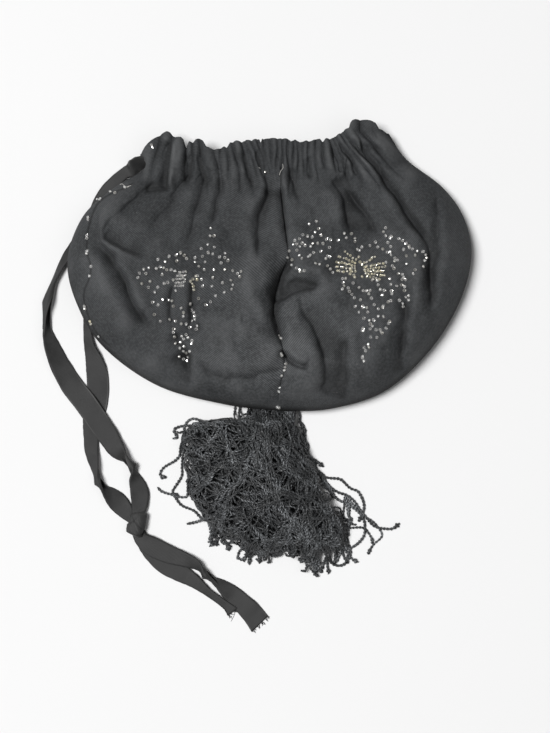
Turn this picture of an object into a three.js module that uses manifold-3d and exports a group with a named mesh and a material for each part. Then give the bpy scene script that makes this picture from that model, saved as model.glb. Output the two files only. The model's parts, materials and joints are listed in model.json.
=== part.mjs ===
// Beaded drawstring purse, lying on its back with the beaded front up.
// Millimetres, +Z up. The mouth points to +Y and the tassel to -Y.
// The origin is on the flat of the back, where the bag rests.

import * as THREE from "three";
import { mergeVertices } from "three/addons/utils/BufferGeometryUtils.js";
import Module from "manifold-3d";

const wasm = await Module();
wasm.setup();

// Driving dimensions
const WALL = 2; // cloth and lining, sewn as one wall
const GAP = 0.3; // between neighbouring pieces
const SEAM_HEIGHT = 9; // side seams above the surface
const BACK_ROLL = 45; // width of the rolled edge under the bag
const FRONT_ROLL = 60; // width of the rolled edge on the front
const CASING = { neckWall: 4.6, from: -0.06, stitchLine: 0.135 };
const CHANNEL = { outer: 1.5, inner: 3.2, from: 0.038, to: 0.124 };
const PLEATS = { count: 26, height: 3, fadeFrom: 0.06, fadeTo: 0.3 };
const RIBBON = { width: 14, thickness: 0.8 };
const BEADWORK = { lift: 0.4, thickness: 1.2 };
const GRID = { front: 46, back: 14, rows: 22, outline: 40 };

// The bag from its mouth to the pole under the tassel, in equal steps: the left outline, the centre
// seam, the right outline and the height of the front where it is fullest.
const BAG_SECTIONS = [
  { leftX: -66, leftY: 88.5, seamX: 2, seamY: 86.5, rightX: 74, rightY: 92, crown: 18 },
  { leftX: -83, leftY: 74, seamX: 2.4, seamY: 67, rightX: 84, rightY: 76, crown: 19 },
  { leftX: -101, leftY: 60.5, seamX: 2.8, seamY: 49, rightX: 104, rightY: 58.5, crown: 23 },
  { leftX: -115, leftY: 38.5, seamX: 3.3, seamY: 29, rightX: 120, rightY: 40, crown: 28 },
  { leftX: -125.5, leftY: 12, seamX: 3.8, seamY: 6, rightX: 125.6, rightY: 16, crown: 33 },
  { leftX: -119, leftY: -15, seamX: 4.3, seamY: -19, rightX: 119, rightY: -13, crown: 36 },
  { leftX: -102, leftY: -41.5, seamX: 4.8, seamY: -43, rightX: 102, rightY: -43, crown: 36 },
  { leftX: -68, leftY: -61.5, seamX: 5.3, seamY: -62, rightX: 72, rightY: -69, crown: 36 },
  { leftX: -28, leftY: -77, seamX: 5.7, seamY: -74, rightX: 38, rightY: -80, crown: 36 },
  { leftX: 6, leftY: -81.5, seamX: 6, seamY: -81.5, rightX: 6, rightY: -81.5, crown: 36 },
];

// Where the gathered edge of the mouth stands higher or lower.
const MOUTH_EDGE = [
  { x: -62, width: 6, rise: 2 },
  { x: -38, width: 11, rise: -5 },
  { x: 60, width: 10, rise: 6 },
];

// The main folds of the front, as valleys between two points.
const FOLDS = [
  { fromX: -66, fromY: 66, toX: -103, toY: 31, width: 7, depth: 6 },
  { fromX: -103, fromY: 28, toX: -75, toY: -27, width: 9, depth: 5 },
  { fromX: -40, fromY: 66, toX: -80, toY: 22, width: 7, depth: 5 },
  { fromX: -38, fromY: 62, toX: -50, toY: 22, width: 6, depth: 4 },
  { fromX: 0, fromY: 60, toX: -5, toY: 17, width: 6, depth: 6 },
  { fromX: 9, fromY: 55, toX: 11, toY: 20, width: 5, depth: 4 },
  { fromX: 11, fromY: 14, toX: 3, toY: -22, width: 8, depth: 7 },
  { fromX: 3, fromY: -22, toX: 20, toY: -53, width: 7, depth: 6 },
  { fromX: 40, fromY: 66, toX: 50, toY: 28, width: 6, depth: 5 },
  { fromX: 61, fromY: 70, toX: 94, toY: 24, width: 7, depth: 6 },
  { fromX: 94, fromY: 26, toX: 99, toY: -20, width: 7, depth: 5 },
  { fromX: -42, fromY: -53, toX: 8, toY: -56, width: 7, depth: 4 },
  { fromX: 23, fromY: -21, toX: 34, toY: -62, width: 7, depth: 4 },
];

// The petals of the two beaded sprays: their middle, size and the way that they point.
const PETALS = {
  beadwork_left: [
    { x: -43, y: 17, length: 41, width: 10, degrees: 68 },
    { x: -66, y: 2, length: 42, width: 20, degrees: 168 },
    { x: -61, y: -13, length: 36, width: 13, degrees: 226 },
    { x: -33, y: 1, length: 44, width: 24, degrees: 10 },
    { x: -51.5, y: -26, length: 54, width: 15, degrees: 270 },
  ],
  beadwork_right: [
    { x: 34, y: 14, length: 50, width: 24, degrees: 170 },
    { x: 56, y: 8, length: 34, width: 16, degrees: 0 },
    { x: 79, y: 12, length: 46, width: 24, degrees: 8 },
    { x: 71, y: -5, length: 42, width: 14, degrees: 318 },
    { x: 60, y: -21, length: 64, width: 24, degrees: 268 },
  ],
};

// The tassel's outer form, from under the bag to its tips.
const TASSEL_SECTIONS = [
  { y: -70, left: -8, right: 14, height: 5 },
  { y: -79, left: -13, right: 18, height: 10 },
  { y: -85.5, left: -20, right: 18.7, height: 14 },
  { y: -89, left: -46, right: 19.3, height: 17 },
  { y: -99, left: -53.6, right: 21.5, height: 20 },
  { y: -118, left: -52.4, right: 28.8, height: 24 },
  { y: -134, left: -47.5, right: 38, height: 25 },
  { y: -149, left: -38, right: 46.5, height: 22 },
  { y: -161, left: -24, right: 47.5, height: 17 },
  { y: -169, left: -8.4, right: 40, height: 10 },
  { y: -173, left: 8, right: 30, height: 4 },
];
const TASSEL = { sides: 14, steps: 26, lump: 0.08, lumpTurns: 5 };

// The free ribbon, by hand: its middle line, how far it lies above the surface, the turn of its flat
// in degrees and the share of its width that it keeps where it is pinched.
const RIBBON_ROUTES = {
  ribbon_upper_strand: [
    { x: -74.4, y: 75.2, lift: 10.2, turn: 0, pinch: 0.75 },
    { x: -81, y: 73.6, lift: 9.6, turn: 0, pinch: 0.75 },
    { x: -90, y: 70, lift: 5.2, turn: 0, pinch: 0.8 },
    { x: -97, y: 60.5, lift: 3, turn: 0, pinch: 0.8 },
    { x: -103, y: 50, lift: 2, turn: 0, pinch: 0.85 },
    { x: -111, y: 38.5, lift: 1.6, turn: 0, pinch: 0.85 },
    { x: -118.7, y: 27.3, lift: 1.4, turn: 15, pinch: 0.75 },
    { x: -127.4, y: 15.5, lift: 0.6, turn: 40, pinch: 0.6 },
    { x: -132.4, y: 2, lift: 0.2, turn: 60, pinch: 0.5 },
    { x: -137.3, y: -14.3, lift: 0, turn: 90, pinch: 0.4 },
    { x: -137.6, y: -31, lift: 0, turn: 130, pinch: 0.7 },
    { x: -133.6, y: -49.6, lift: 0, turn: 165, pinch: 1 },
    { x: -127.4, y: -65.1, lift: 0.3, turn: 180, pinch: 1 },
    { x: -115.6, y: -79.4, lift: 1.4, turn: 180, pinch: 1 },
    { x: -105.1, y: -93, lift: 1.6, turn: 180, pinch: 1 },
    { x: -94.5, y: -106.6, lift: 0.8, turn: 185, pinch: 0.9 },
    { x: -87.1, y: -115.9, lift: 0.2, turn: 260, pinch: 0.4 },
    { x: -81.5, y: -124.6, lift: 0.2, turn: 340, pinch: 0.8 },
    { x: -77, y: -134.5, lift: 0.6, turn: 360, pinch: 0.95 },
    { x: -77.6, y: -145, lift: 3, turn: 360, pinch: 0.6 },
  ],
  ribbon_lower_strand: [
    { x: -74.4, y: 74.6, lift: 7.7, turn: 0, pinch: 0.75 },
    { x: -81, y: 72, lift: 6.8, turn: 0, pinch: 0.75 },
    { x: -88, y: 65.5, lift: 3.4, turn: 0, pinch: 0.8 },
    { x: -94.5, y: 55, lift: 1, turn: 0, pinch: 0.8 },
    { x: -101.4, y: 39.7, lift: 0, turn: 0, pinch: 0.85 },
    { x: -110.7, y: 21.7, lift: 0, turn: 0, pinch: 0.85 },
    { x: -115.6, y: 3.1, lift: 0, turn: 0, pinch: 0.85 },
    { x: -116.9, y: -15.5, lift: 0, turn: 10, pinch: 0.7 },
    { x: -115.6, y: -31, lift: 0, turn: 35, pinch: 0.5 },
    { x: -111.9, y: -42.5, lift: 0, turn: 20, pinch: 0.7 },
    { x: -107.6, y: -55.6, lift: 0, turn: 0, pinch: 1 },
    { x: -106.3, y: -72.3, lift: 0, turn: 0, pinch: 1 },
    { x: -108.8, y: -89.9, lift: 0, turn: 0, pinch: 0.9 },
    { x: -112.4, y: -104.6, lift: 0, turn: 4, pinch: 0.8 },
    { x: -109, y: -117, lift: 0, turn: 45, pinch: 0.6 },
    { x: -102.6, y: -124.6, lift: 0, turn: 90, pinch: 0.4 },
    { x: -96.4, y: -134.5, lift: 0, turn: 150, pinch: 0.8 },
    { x: -92, y: -141.5, lift: 0, turn: 180, pinch: 0.9 },
    { x: -87.4, y: -147.6, lift: 0.6, turn: 180, pinch: 0.55 },
  ],
  ribbon_long_end: [
    { x: -77.5, y: -157, lift: 2.4, turn: 0, pinch: 0.7 },
    { x: -67.3, y: -165.5, lift: 1.4, turn: 0, pinch: 1 },
    { x: -54.9, y: -171.7, lift: 1.3, turn: 0, pinch: 1 },
    { x: -45, y: -176.7, lift: 0.6, turn: 25, pinch: 0.8 },
    { x: -37.5, y: -180.4, lift: 0.2, turn: 90, pinch: 0.35 },
    { x: -29.5, y: -186.6, lift: 0, turn: 140, pinch: 0.7 },
    { x: -20.2, y: -194.7, lift: 0, turn: 175, pinch: 1 },
    { x: -12.7, y: -203.4, lift: 0, turn: 180, pinch: 1 },
    { x: -7.8, y: -212, lift: 0, turn: 180, pinch: 1 },
  ],
  ribbon_short_end: [
    { x: -80.5, y: -160, lift: 0.4, turn: 0, pinch: 0.7 },
    { x: -73.5, y: -169.3, lift: 0, turn: 0, pinch: 1 },
    { x: -65.4, y: -177.3, lift: 0, turn: 0, pinch: 1 },
    { x: -54.9, y: -184.1, lift: 0, turn: 0, pinch: 1 },
    { x: -44.3, y: -190.3, lift: 0, turn: 5, pinch: 0.85 },
    { x: -34.4, y: -196.5, lift: 0, turn: 25, pinch: 0.6 },
    { x: -27, y: -201.5, lift: 0, turn: 30, pinch: 0.5 },
    { x: -22, y: -206.5, lift: 0, turn: 15, pinch: 0.7 },
  ],
};
const RIBBON_STEPS = {
  ribbon_upper_strand: 60,
  ribbon_lower_strand: 52,
  ribbon_long_end: 36,
  ribbon_short_end: 24,
};
const KNOT = { x: -81.5, y: -151.9, across: 7, along: 8, height: 4.6, degrees: 25 };
const SLIT = { at: 0.09, deep: 12, long: 16, high: 5, degrees: 165 };

const CLOTH = new THREE.MeshStandardMaterial({ color: 0x3b3b3f, roughness: 0.85, metalness: 0 });
const SATIN = new THREE.MeshStandardMaterial({ color: 0x35353a, roughness: 0.6, metalness: 0 });
const CORD = new THREE.MeshStandardMaterial({ color: 0x222226, roughness: 0.75, metalness: 0 });
const STEEL_BEADS = new THREE.MeshStandardMaterial({ color: 0xb9b7a8, roughness: 0.3, metalness: 1 });

// Curves down the bag

function columnCurve(xColumn, yColumn) {
  const points = BAG_SECTIONS.map((row) => new THREE.Vector3(row[xColumn], row[yColumn], row.crown));
  return new THREE.CatmullRomCurve3(points, false, "catmullrom", 0.5);
}

const leftSide = columnCurve("leftX", "leftY");
const centreSeam = columnCurve("seamX", "seamY");
const rightSide = columnCurve("rightX", "rightY");

// A point of a curve, which runs on straight above the mouth where t is below 0.
function along(curve, t) {
  const start = curve.getPoint(Math.max(t, 0));
  if (t >= 0) return start;
  const step = 0.01;
  return start.addScaledVector(curve.getPoint(step).sub(curve.getPoint(0)), t / step);
}

// The point of a side outline moved in by inset. The inside is on the left going down the left side.
function insetPoint(curve, t, inset, inside) {
  const step = 0.005;
  const lower = Math.min(t + step, 1);
  const tangent = along(curve, lower).sub(along(curve, lower - 2 * step)).setZ(0).normalize();
  const inward = new THREE.Vector3(-tangent.y, tangent.x, 0).multiplyScalar(inside * inset);
  return along(curve, t).add(inward);
}

const OUTLINE = [leftSide, rightSide].map((curve) => curve.getPoints(GRID.outline));

// How far a point of the plan lies in from the nearer side outline.
function depthInside(x, y) {
  const point = new THREE.Vector3(x, y, 0);
  const nearest = new THREE.Vector3();
  let best = Infinity;
  for (const side of OUTLINE) {
    for (let i = 0; i < side.length - 1; i++) {
      const line = new THREE.Line3(side[i].clone().setZ(0), side[i + 1].clone().setZ(0));
      line.closestPointToPoint(point, true, nearest);
      best = Math.min(best, nearest.distanceTo(point));
    }
  }
  return best;
}

// Heights of the cloth

const smooth = (low, high, value) => THREE.MathUtils.smoothstep(value, low, high);

function foldDepth(x, y) {
  let depth = 0;
  for (const fold of FOLDS) {
    const run = new THREE.Vector2(fold.toX - fold.fromX, fold.toY - fold.fromY);
    const offset = new THREE.Vector2(x - fold.fromX, y - fold.fromY);
    const share = offset.dot(run) / run.lengthSq();
    const across = offset.cross(run) / run.length();
    const ends = smooth(-0.15, 0.2, share) * (1 - smooth(0.75, 1.15, share));
    depth += fold.depth * ends * Math.exp(-((across / fold.width) ** 2));
  }
  return depth;
}

// The gathers stand up from the casing and die away below it.
function pleatHeight(s, t) {
  const fade = 1 - smooth(PLEATS.fadeFrom, PLEATS.fadeTo, t);
  return PLEATS.height * fade * (0.5 + 0.5 * Math.cos(Math.PI * PLEATS.count * s));
}

function frontHeight(x, y, s, t, inset) {
  const depth = Math.max(depthInside(x, y) - inset, 0);
  const roll = (1 - (1 - Math.min(depth / FRONT_ROLL, 1)) ** 2.2) ** 0.6;
  const crown = along(centreSeam, Math.max(t, 0)).z;
  const gathers = inset > 0 ? 0 : pleatHeight(s, t);
  return SEAM_HEIGHT + roll * (crown - SEAM_HEIGHT - inset - foldDepth(x, y) + gathers);
}

function backHeight(x, y, inset) {
  const depth = Math.max(depthInside(x, y) - inset, 0);
  return inset + (SEAM_HEIGHT - inset) * (1 - Math.min(depth / BACK_ROLL, 1)) ** 1.6;
}

// How much the mouth's edge rises at x, less and less down to the stitch line.
function mouthRise(x, t) {
  const fade = 1 - smooth(0, CASING.stitchLine, t);
  const rise = MOUTH_EDGE.map((peak) => peak.rise * Math.exp(-(((x - peak.x) / peak.width) ** 2)));
  return fade * rise.reduce((sum, value) => sum + value, 0);
}

// One closed section of the bag: the front from left to right, then the back from right to left.
function bagSection(t, inset) {
  const seam = along(centreSeam, t);
  seam.y += inset * smooth(0.7, 1, t);
  const left = t < 1 ? insetPoint(leftSide, t, inset, 1) : seam;
  const right = t < 1 ? insetPoint(rightSide, t, inset, -1) : seam;
  const place = (s) =>
    new THREE.Vector3()
      .addScaledVector(left, (s * (s - 1)) / 2)
      .addScaledVector(seam, 1 - s * s)
      .addScaledVector(right, (s * (s + 1)) / 2);
  const ring = [];
  for (let i = 0; i <= GRID.front; i++) {
    const s = (2 * i) / GRID.front - 1;
    const point = place(s);
    const atSeam = i === 0 || i === GRID.front || t === 1;
    point.z = atSeam ? SEAM_HEIGHT : frontHeight(point.x, point.y, s, t, inset);
    if (inset <= 0) point.y += mouthRise(point.x, t);
    ring.push(point);
  }
  for (let i = 1; i < GRID.back; i++) {
    const s = 1 - (2 * i) / GRID.back;
    const point = place(s);
    point.z = t === 1 ? SEAM_HEIGHT : backHeight(point.x, point.y, inset);
    ring.push(point);
  }
  return ring;
}

// Solids

function solidOf(geometry) {
  const bare = geometry.index ? geometry.toNonIndexed() : geometry.clone();
  bare.deleteAttribute("normal");
  bare.deleteAttribute("uv");
  const merged = mergeVertices(bare, 1e-3);
  const vertProperties = new Float32Array(merged.attributes.position.array);
  const triVerts = new Uint32Array(merged.index.array);
  return new wasm.Manifold(new wasm.Mesh({ numProp: 3, vertProperties, triVerts }));
}

function geometryOf(solid) {
  const mesh = solid.getMesh();
  const positions = new Float32Array(mesh.numVert * 3);
  for (let i = 0; i < mesh.numVert; i++) {
    positions.set(mesh.vertProperties.subarray(i * mesh.numProp, i * mesh.numProp + 3), i * 3);
  }
  const geometry = new THREE.BufferGeometry();
  geometry.setAttribute("position", new THREE.BufferAttribute(positions, 3));
  geometry.setIndex(new THREE.BufferAttribute(mesh.triVerts, 1));
  geometry.computeVertexNormals();
  return geometry;
}

// The triangles of a flat end with its points in a ring.
function fanCap(count) {
  return Array.from({ length: count - 2 }, (_, i) => [0, i + 1, i + 2]);
}

// The triangles that close a bag section, zipped between its front and its back.
function bagCap() {
  const { front, back } = GRID;
  const backIndex = (k) => (k === 0 ? 0 : front + back - k);
  const faces = [];
  let i = 0;
  let k = 0;
  while (i < front || k < back) {
    const onFront = k === back || (i < front && (i + 1) * back <= (k + 1) * front);
    faces.push(onFront ? [i, i + 1, backIndex(k)] : [i, backIndex(k + 1), backIndex(k)]);
    if (onFront) i += 1;
    else k += 1;
  }
  return faces;
}

// A closed skin through rings of equal count. A ring that is a single point closes by itself. The two
// halves of a ring are split along matching diagonals, so that a thin strip's faces stay apart.
function loft(rings, cap) {
  const points = rings.flat();
  const count = rings[0].length;
  const last = (rings.length - 1) * count;
  const faces = [];
  for (let a = 0; a < last; a++) {
    const b = (a + 1) % count === 0 ? a + 1 - count : a + 1;
    const firstHalf = a % count < count / 2;
    if (firstHalf) faces.push([a, a + count, b], [b, a + count, b + count]);
    else faces.push([a, a + count, b + count], [a, b + count, b]);
  }
  for (const [a, b, c] of cap) faces.push([a, b, c], [last + a, last + c, last + b]);
  const same = (i, j) => points[i].distanceTo(points[j]) < 1e-3;
  const kept = faces.filter(([a, b, c]) => !same(a, b) && !same(b, c) && !same(c, a));
  const corners = kept.flat().map((i) => points[i]);
  return solidOf(new THREE.BufferGeometry().setFromPoints(corners));
}

// The filled bag, moved in by inset, from one share of its depth to another.
function sack(inset, from, to, rows) {
  const rings = [];
  for (let i = 0; i <= rows; i++) rings.push(bagSection(from + ((to - from) * i) / rows, inset));
  return loft(rings, bagCap());
}

function largestBody(solid) {
  return solid.decompose().reduce((a, b) => (b.volume() > a.volume() ? b : a));
}

function boxSolid(width, depth, height, place) {
  const box = new THREE.BoxGeometry(width, depth, height);
  return solidOf(box.applyMatrix4(place));
}

function placed(x, y, z, degrees) {
  const turn = new THREE.Matrix4().makeRotationZ(THREE.MathUtils.degToRad(degrees));
  return turn.setPosition(x, y, z);
}

// The bag: four gores sewn into a sack, with a hem round the mouth that holds the ribbon

const REACH = 400; // longer than the bag, for the cuts along the seams
const filledBag = sack(0, 0, 1, GRID.rows);

function ringBand(outer, inner, from, to) {
  const past = 0.004;
  return sack(outer, from, to, 1).subtract(sack(inner, from - past, to + past, 1));
}

// The opening at the left end of the hem, smaller on every side by inset.
function slitCut(inset, high) {
  const at = along(leftSide, SLIT.at);
  const place = placed(at.x, at.y, SEAM_HEIGHT, SLIT.degrees);
  return boxSolid(SLIT.deep - 2 * inset, SLIT.long - 2 * inset, high - 2 * inset, place);
}

function gores() {
  const inside = sack(WALL, CASING.stitchLine, 1, GRID.rows - 2);
  const neck = sack(CASING.neckWall, CASING.from, CASING.stitchLine + 0.012, 4);
  const channel = ringBand(CHANNEL.outer, CHANNEL.inner, CHANNEL.from, CHANNEL.to);
  const top = along(centreSeam, 0);
  const pole = along(centreSeam, 1);
  const lean = THREE.MathUtils.radToDeg(Math.atan2(pole.x - top.x, top.y - pole.y));
  const middle = top.clone().add(pole).multiplyScalar(0.5);
  const centreCut = boxSolid(GAP, REACH, REACH, placed(middle.x, middle.y, 0, lean));
  const sideCut = boxSolid(REACH, REACH, GAP, placed(0, 0, SEAM_HEIGHT, 0));
  const shell = filledBag.subtract(inside).subtract(neck).subtract(channel).subtract(slitCut(0, SLIT.high));
  const panels = shell.subtract(centreCut).subtract(sideCut).decompose();
  const named = new Map();
  for (const panel of panels) {
    const box = panel.boundingBox();
    const side = (box.min[0] + box.max[0]) / 2 < middle.x ? "left" : "right";
    const face = box.max[2] > SEAM_HEIGHT + GAP ? "front" : "back";
    const name = `${face}_${side}_gore`;
    if (!named.has(name) || named.get(name).volume() < panel.volume()) named.set(name, panel);
  }
  return named;
}

// The stretch of the ribbon that runs round the mouth inside the hem, open at the slit.
function ribbonInCasing() {
  const slack = (CHANNEL.inner - CHANNEL.outer - RIBBON.thickness) / 2;
  const ends = 0.005;
  const band = ringBand(
    CHANNEL.outer + slack,
    CHANNEL.inner - slack,
    CHANNEL.from + ends,
    CHANNEL.to - ends,
  );
  return band.subtract(slitCut(0, REACH));
}

// A thin paved layer over the front cloth, in the outline of its petals.
function beadwork(petals) {
  const layer = filledBag
    .translate([0, 0, BEADWORK.lift + BEADWORK.thickness])
    .subtract(filledBag.translate([0, 0, BEADWORK.lift]));
  const prisms = petals.map((petal) => {
    const outline = new THREE.Shape().absellipse(0, 0, petal.length / 2, petal.width / 2, 0, 2 * Math.PI);
    const height = REACH / 4;
    const prism = new THREE.ExtrudeGeometry(outline, { depth: height, bevelEnabled: false, curveSegments: 9 });
    return solidOf(prism.applyMatrix4(placed(petal.x, petal.y, SEAM_HEIGHT, petal.degrees)));
  });
  const outline = prisms.reduce((joined, prism) => joined.add(prism));
  return layer.intersect(outline);
}

// The tassel

function tasselSkirt() {
  const columns = ["left", "right", "height"];
  const curves = columns.map((column) => {
    const points = TASSEL_SECTIONS.map((row) => new THREE.Vector3(row[column], row.y, 0));
    return new THREE.CatmullRomCurve3(points, false, "catmullrom", 0.5);
  });
  const rings = [];
  for (let i = 0; i <= TASSEL.steps; i++) {
    const t = i / TASSEL.steps;
    const [left, right, height] = curves.map((curve) => curve.getPoint(t));
    const ring = [];
    for (let j = 0; j <= TASSEL.sides; j++) {
      const angle = Math.PI * (1 - j / TASSEL.sides);
      const lump = 1 + TASSEL.lump * Math.sin(TASSEL.lumpTurns * angle + i) * Math.sin(angle);
      const x = (left.x + right.x) / 2 + ((right.x - left.x) / 2) * Math.cos(angle) * lump;
      ring.push(new THREE.Vector3(x, left.y, height.x * lump * Math.sin(angle) ** 0.7));
    }
    rings.push(ring);
  }
  const room = sack(-GAP, 0.5, 1, GRID.rows);
  return loft(rings, fanCap(TASSEL.sides + 1)).subtract(room);
}

// The free ribbon

function ribbonSolid(rows, steps, grow) {
  const middle = new THREE.CatmullRomCurve3(rows.map((row) => new THREE.Vector3(row.x, row.y, row.lift)));
  const shape = new THREE.CatmullRomCurve3(rows.map((row) => new THREE.Vector3(row.turn, row.pinch, 0)));
  const up = new THREE.Vector3(0, 0, 1);
  const rings = [];
  for (let i = 0; i <= steps; i++) {
    const t = i / steps;
    const centre = middle.getPoint(t);
    const ahead = middle.getTangent(t).setZ(0).normalize();
    const { x: degrees, y: pinch } = shape.getPoint(t);
    const turn = THREE.MathUtils.degToRad(degrees);
    const half = (RIBBON.width * pinch) / 2;
    const halfThick = RIBBON.thickness / 2;
    const side = new THREE.Vector3().crossVectors(up, ahead).applyAxisAngle(ahead, turn);
    const face = new THREE.Vector3().crossVectors(ahead, side);
    centre.z = Math.max(centre.z, 0) + half * Math.abs(Math.sin(turn)) + halfThick * Math.abs(Math.cos(turn));
    const corners = [
      [1, 1],
      [1, -1],
      [-1, -1],
      [-1, 1],
    ];
    rings.push(
      corners.map(([across, out]) =>
        centre
          .clone()
          .addScaledVector(side, across * (half + grow))
          .addScaledVector(face, out * (halfThick + grow)),
      ),
    );
  }
  return loft(rings, fanCap(rings[0].length));
}

function knotSolid(grow) {
  const ball = new THREE.SphereGeometry(1, 14, 10);
  const size = new THREE.Matrix4().makeScale(KNOT.across + grow, KNOT.along + grow, KNOT.height + grow);
  const place = placed(KNOT.x, KNOT.y, KNOT.height, KNOT.degrees);
  return solidOf(ball.rotateX(Math.PI / 2).applyMatrix4(place.multiply(size)));
}

// The purse

const purse = new THREE.Group();

function addPiece(name, solid, material) {
  const mesh = new THREE.Mesh(geometryOf(solid), material);
  mesh.name = name;
  purse.add(mesh);
}

for (const [name, gore] of gores()) addPiece(name, gore, CLOTH);
addPiece("ribbon_in_casing", ribbonInCasing(), SATIN);
for (const [name, petals] of Object.entries(PETALS)) addPiece(name, beadwork(petals), STEEL_BEADS);
addPiece("tassel_skirt", tasselSkirt(), CORD);
addPiece("ribbon_knot", knotSolid(0), SATIN);
const roomForBag = sack(-GAP, 0, 1, GRID.rows).subtract(slitCut(GAP, SLIT.high));
let taken = roomForBag.add(knotSolid(GAP));
for (const [name, rows] of Object.entries(RIBBON_ROUTES)) {
  const steps = RIBBON_STEPS[name];
  addPiece(name, largestBody(ribbonSolid(rows, steps, 0).subtract(taken)), SATIN);
  taken = taken.add(ribbonSolid(rows, steps, GAP));
}

export default purse;
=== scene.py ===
"""A beaded drawstring purse, lying on its back with the beaded front up.

The cloth, ribbon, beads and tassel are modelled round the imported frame. Charts are in millimetres, or in
pixels of the 550 by 733 view where they were read off it, and every finished mesh is in metres.
"""

import json
import logging
import math
from collections.abc import Callable
from dataclasses import astuple, dataclass, field
from enum import Enum

import bpy
import numpy as np
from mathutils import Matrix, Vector
from mathutils.bvhtree import BVHTree

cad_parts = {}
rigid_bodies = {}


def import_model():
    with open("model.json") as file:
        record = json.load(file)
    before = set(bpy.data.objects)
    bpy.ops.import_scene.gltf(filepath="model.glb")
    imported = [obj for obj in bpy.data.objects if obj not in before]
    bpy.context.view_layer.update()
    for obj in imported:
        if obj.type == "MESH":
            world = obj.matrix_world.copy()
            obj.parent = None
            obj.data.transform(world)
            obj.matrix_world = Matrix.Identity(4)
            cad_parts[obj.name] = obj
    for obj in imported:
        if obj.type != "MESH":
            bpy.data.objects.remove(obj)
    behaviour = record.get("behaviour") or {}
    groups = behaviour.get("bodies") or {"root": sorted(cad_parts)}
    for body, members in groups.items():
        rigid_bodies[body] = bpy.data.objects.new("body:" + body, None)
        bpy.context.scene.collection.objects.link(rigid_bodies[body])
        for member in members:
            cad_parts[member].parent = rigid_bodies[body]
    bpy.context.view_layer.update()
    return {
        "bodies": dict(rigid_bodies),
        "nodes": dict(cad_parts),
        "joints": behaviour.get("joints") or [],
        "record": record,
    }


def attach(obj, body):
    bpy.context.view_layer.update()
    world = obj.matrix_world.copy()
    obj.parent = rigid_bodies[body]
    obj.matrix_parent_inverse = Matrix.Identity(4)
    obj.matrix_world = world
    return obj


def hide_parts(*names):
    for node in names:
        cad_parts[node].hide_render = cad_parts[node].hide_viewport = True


MM = 0.001
BODY = "root"
FULL_TURN = 2 * math.pi
ANY_PHASE = (0, 6.3)
TINY = 1e-6
BLOCK = 4000
FLOOR_GAP = 0.02
UPWARD = np.array([0.0, 0.0, 1.0])
Array = np.ndarray
Draw = np.random.Generator
new_draw = np.random.default_rng
Material = bpy.types.Material
Piece = bpy.types.Object
Pair = tuple[float, float]
Triple = tuple[float, float, float]
Arrays = tuple[Array, Array]
Line = tuple[Pair, ...]
log = logging.getLogger("purse")


class Side(Enum):
    """The two halves of the purse, seen from the front."""

    LEFT = -1
    RIGHT = 1


RIGHT = Side.RIGHT


# Curves and heights


def smoothstep(low: float, high: float | Array, value: Array) -> Array:
    """Rise softly from 0 at low to 1 at high."""
    share = np.clip((value - low) / (high - low), 0, 1)
    return share * share * (3 - 2 * share)


def hump(value: Array, middle: float, width: float) -> Array:
    """A bell of height 1 round middle."""
    return np.exp(-(((value - middle) / width) ** 2))


def unit(vectors: Array) -> Array:
    """Bring vectors to length 1."""
    return vectors / np.maximum(np.linalg.norm(vectors, axis=-1, keepdims=True), TINY)


def quarter_turn(vectors: Array) -> Array:
    """Turn plan vectors to the left by a right angle."""
    return vectors[..., ::-1] * np.array([-1, 1])


def eased(values: Array, span: int) -> Array:
    """Even out a row of numbers over a span of its neighbours."""
    return np.convolve(np.pad(values, span // 2, mode="edge"), np.ones(span) / span, mode="valid")


def flowing(rows: Array, share: Array) -> Array:
    """Follow a smooth line through rows of numbers.

    Args:
        rows: The values to pass through, one row for each stop.
        share: Where to read the line, from 0 at the first row to 1 at the last.

    Returns:
        One row of values for each share.
    """
    stops = np.asarray(rows, float)
    ends = np.vstack([2 * stops[0] - stops[1], stops, 2 * stops[-1] - stops[-2]])
    place = np.clip(share, 0, 1) * (len(stops) - 1)
    index = np.minimum(place.astype(int), len(stops) - 2)
    part = (place - index)[:, None]
    before, start, end, after = (ends[index + k] for k in range(4))
    slope = end - before
    bend = 2 * before - 5 * start + 4 * end - after
    turn = 3 * start - before - 3 * end + after
    return 0.5 * (2 * start + slope * part + bend * part**2 + turn * part**3)


def traced(line: Line, count: int) -> Array:
    """Lay a number of points along a smooth line through charted places."""
    return flowing(np.array(line, float), np.linspace(0, 1, count))


def running_length(path: Array) -> Array:
    """Measure the way along a path from its start to each of its points."""
    steps = np.linalg.norm(np.diff(path, axis=0), axis=1)
    return np.concatenate([[0.0], np.cumsum(steps)])


def even_path(stops: Array, step: float, fine: int = 24, measured: int | None = None) -> Array:
    """Lay points at even steps along a smooth line through the stops.

    Args:
        stops: The stops, one row each.
        step: The way between two points.
        fine: How many points the line has for each stop while it is measured.
        measured: How many of the columns are a place, or None if all are.

    Returns:
        The points, one row each.
    """
    fewest = 4
    dense = flowing(stops, np.linspace(0, 1, fine * len(stops)))
    length = running_length(dense[:, :measured])
    places = np.linspace(0, length[-1], max(fewest, int(length[-1] / step)))
    return np.column_stack([np.interp(places, length, column) for column in dense.T])


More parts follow.
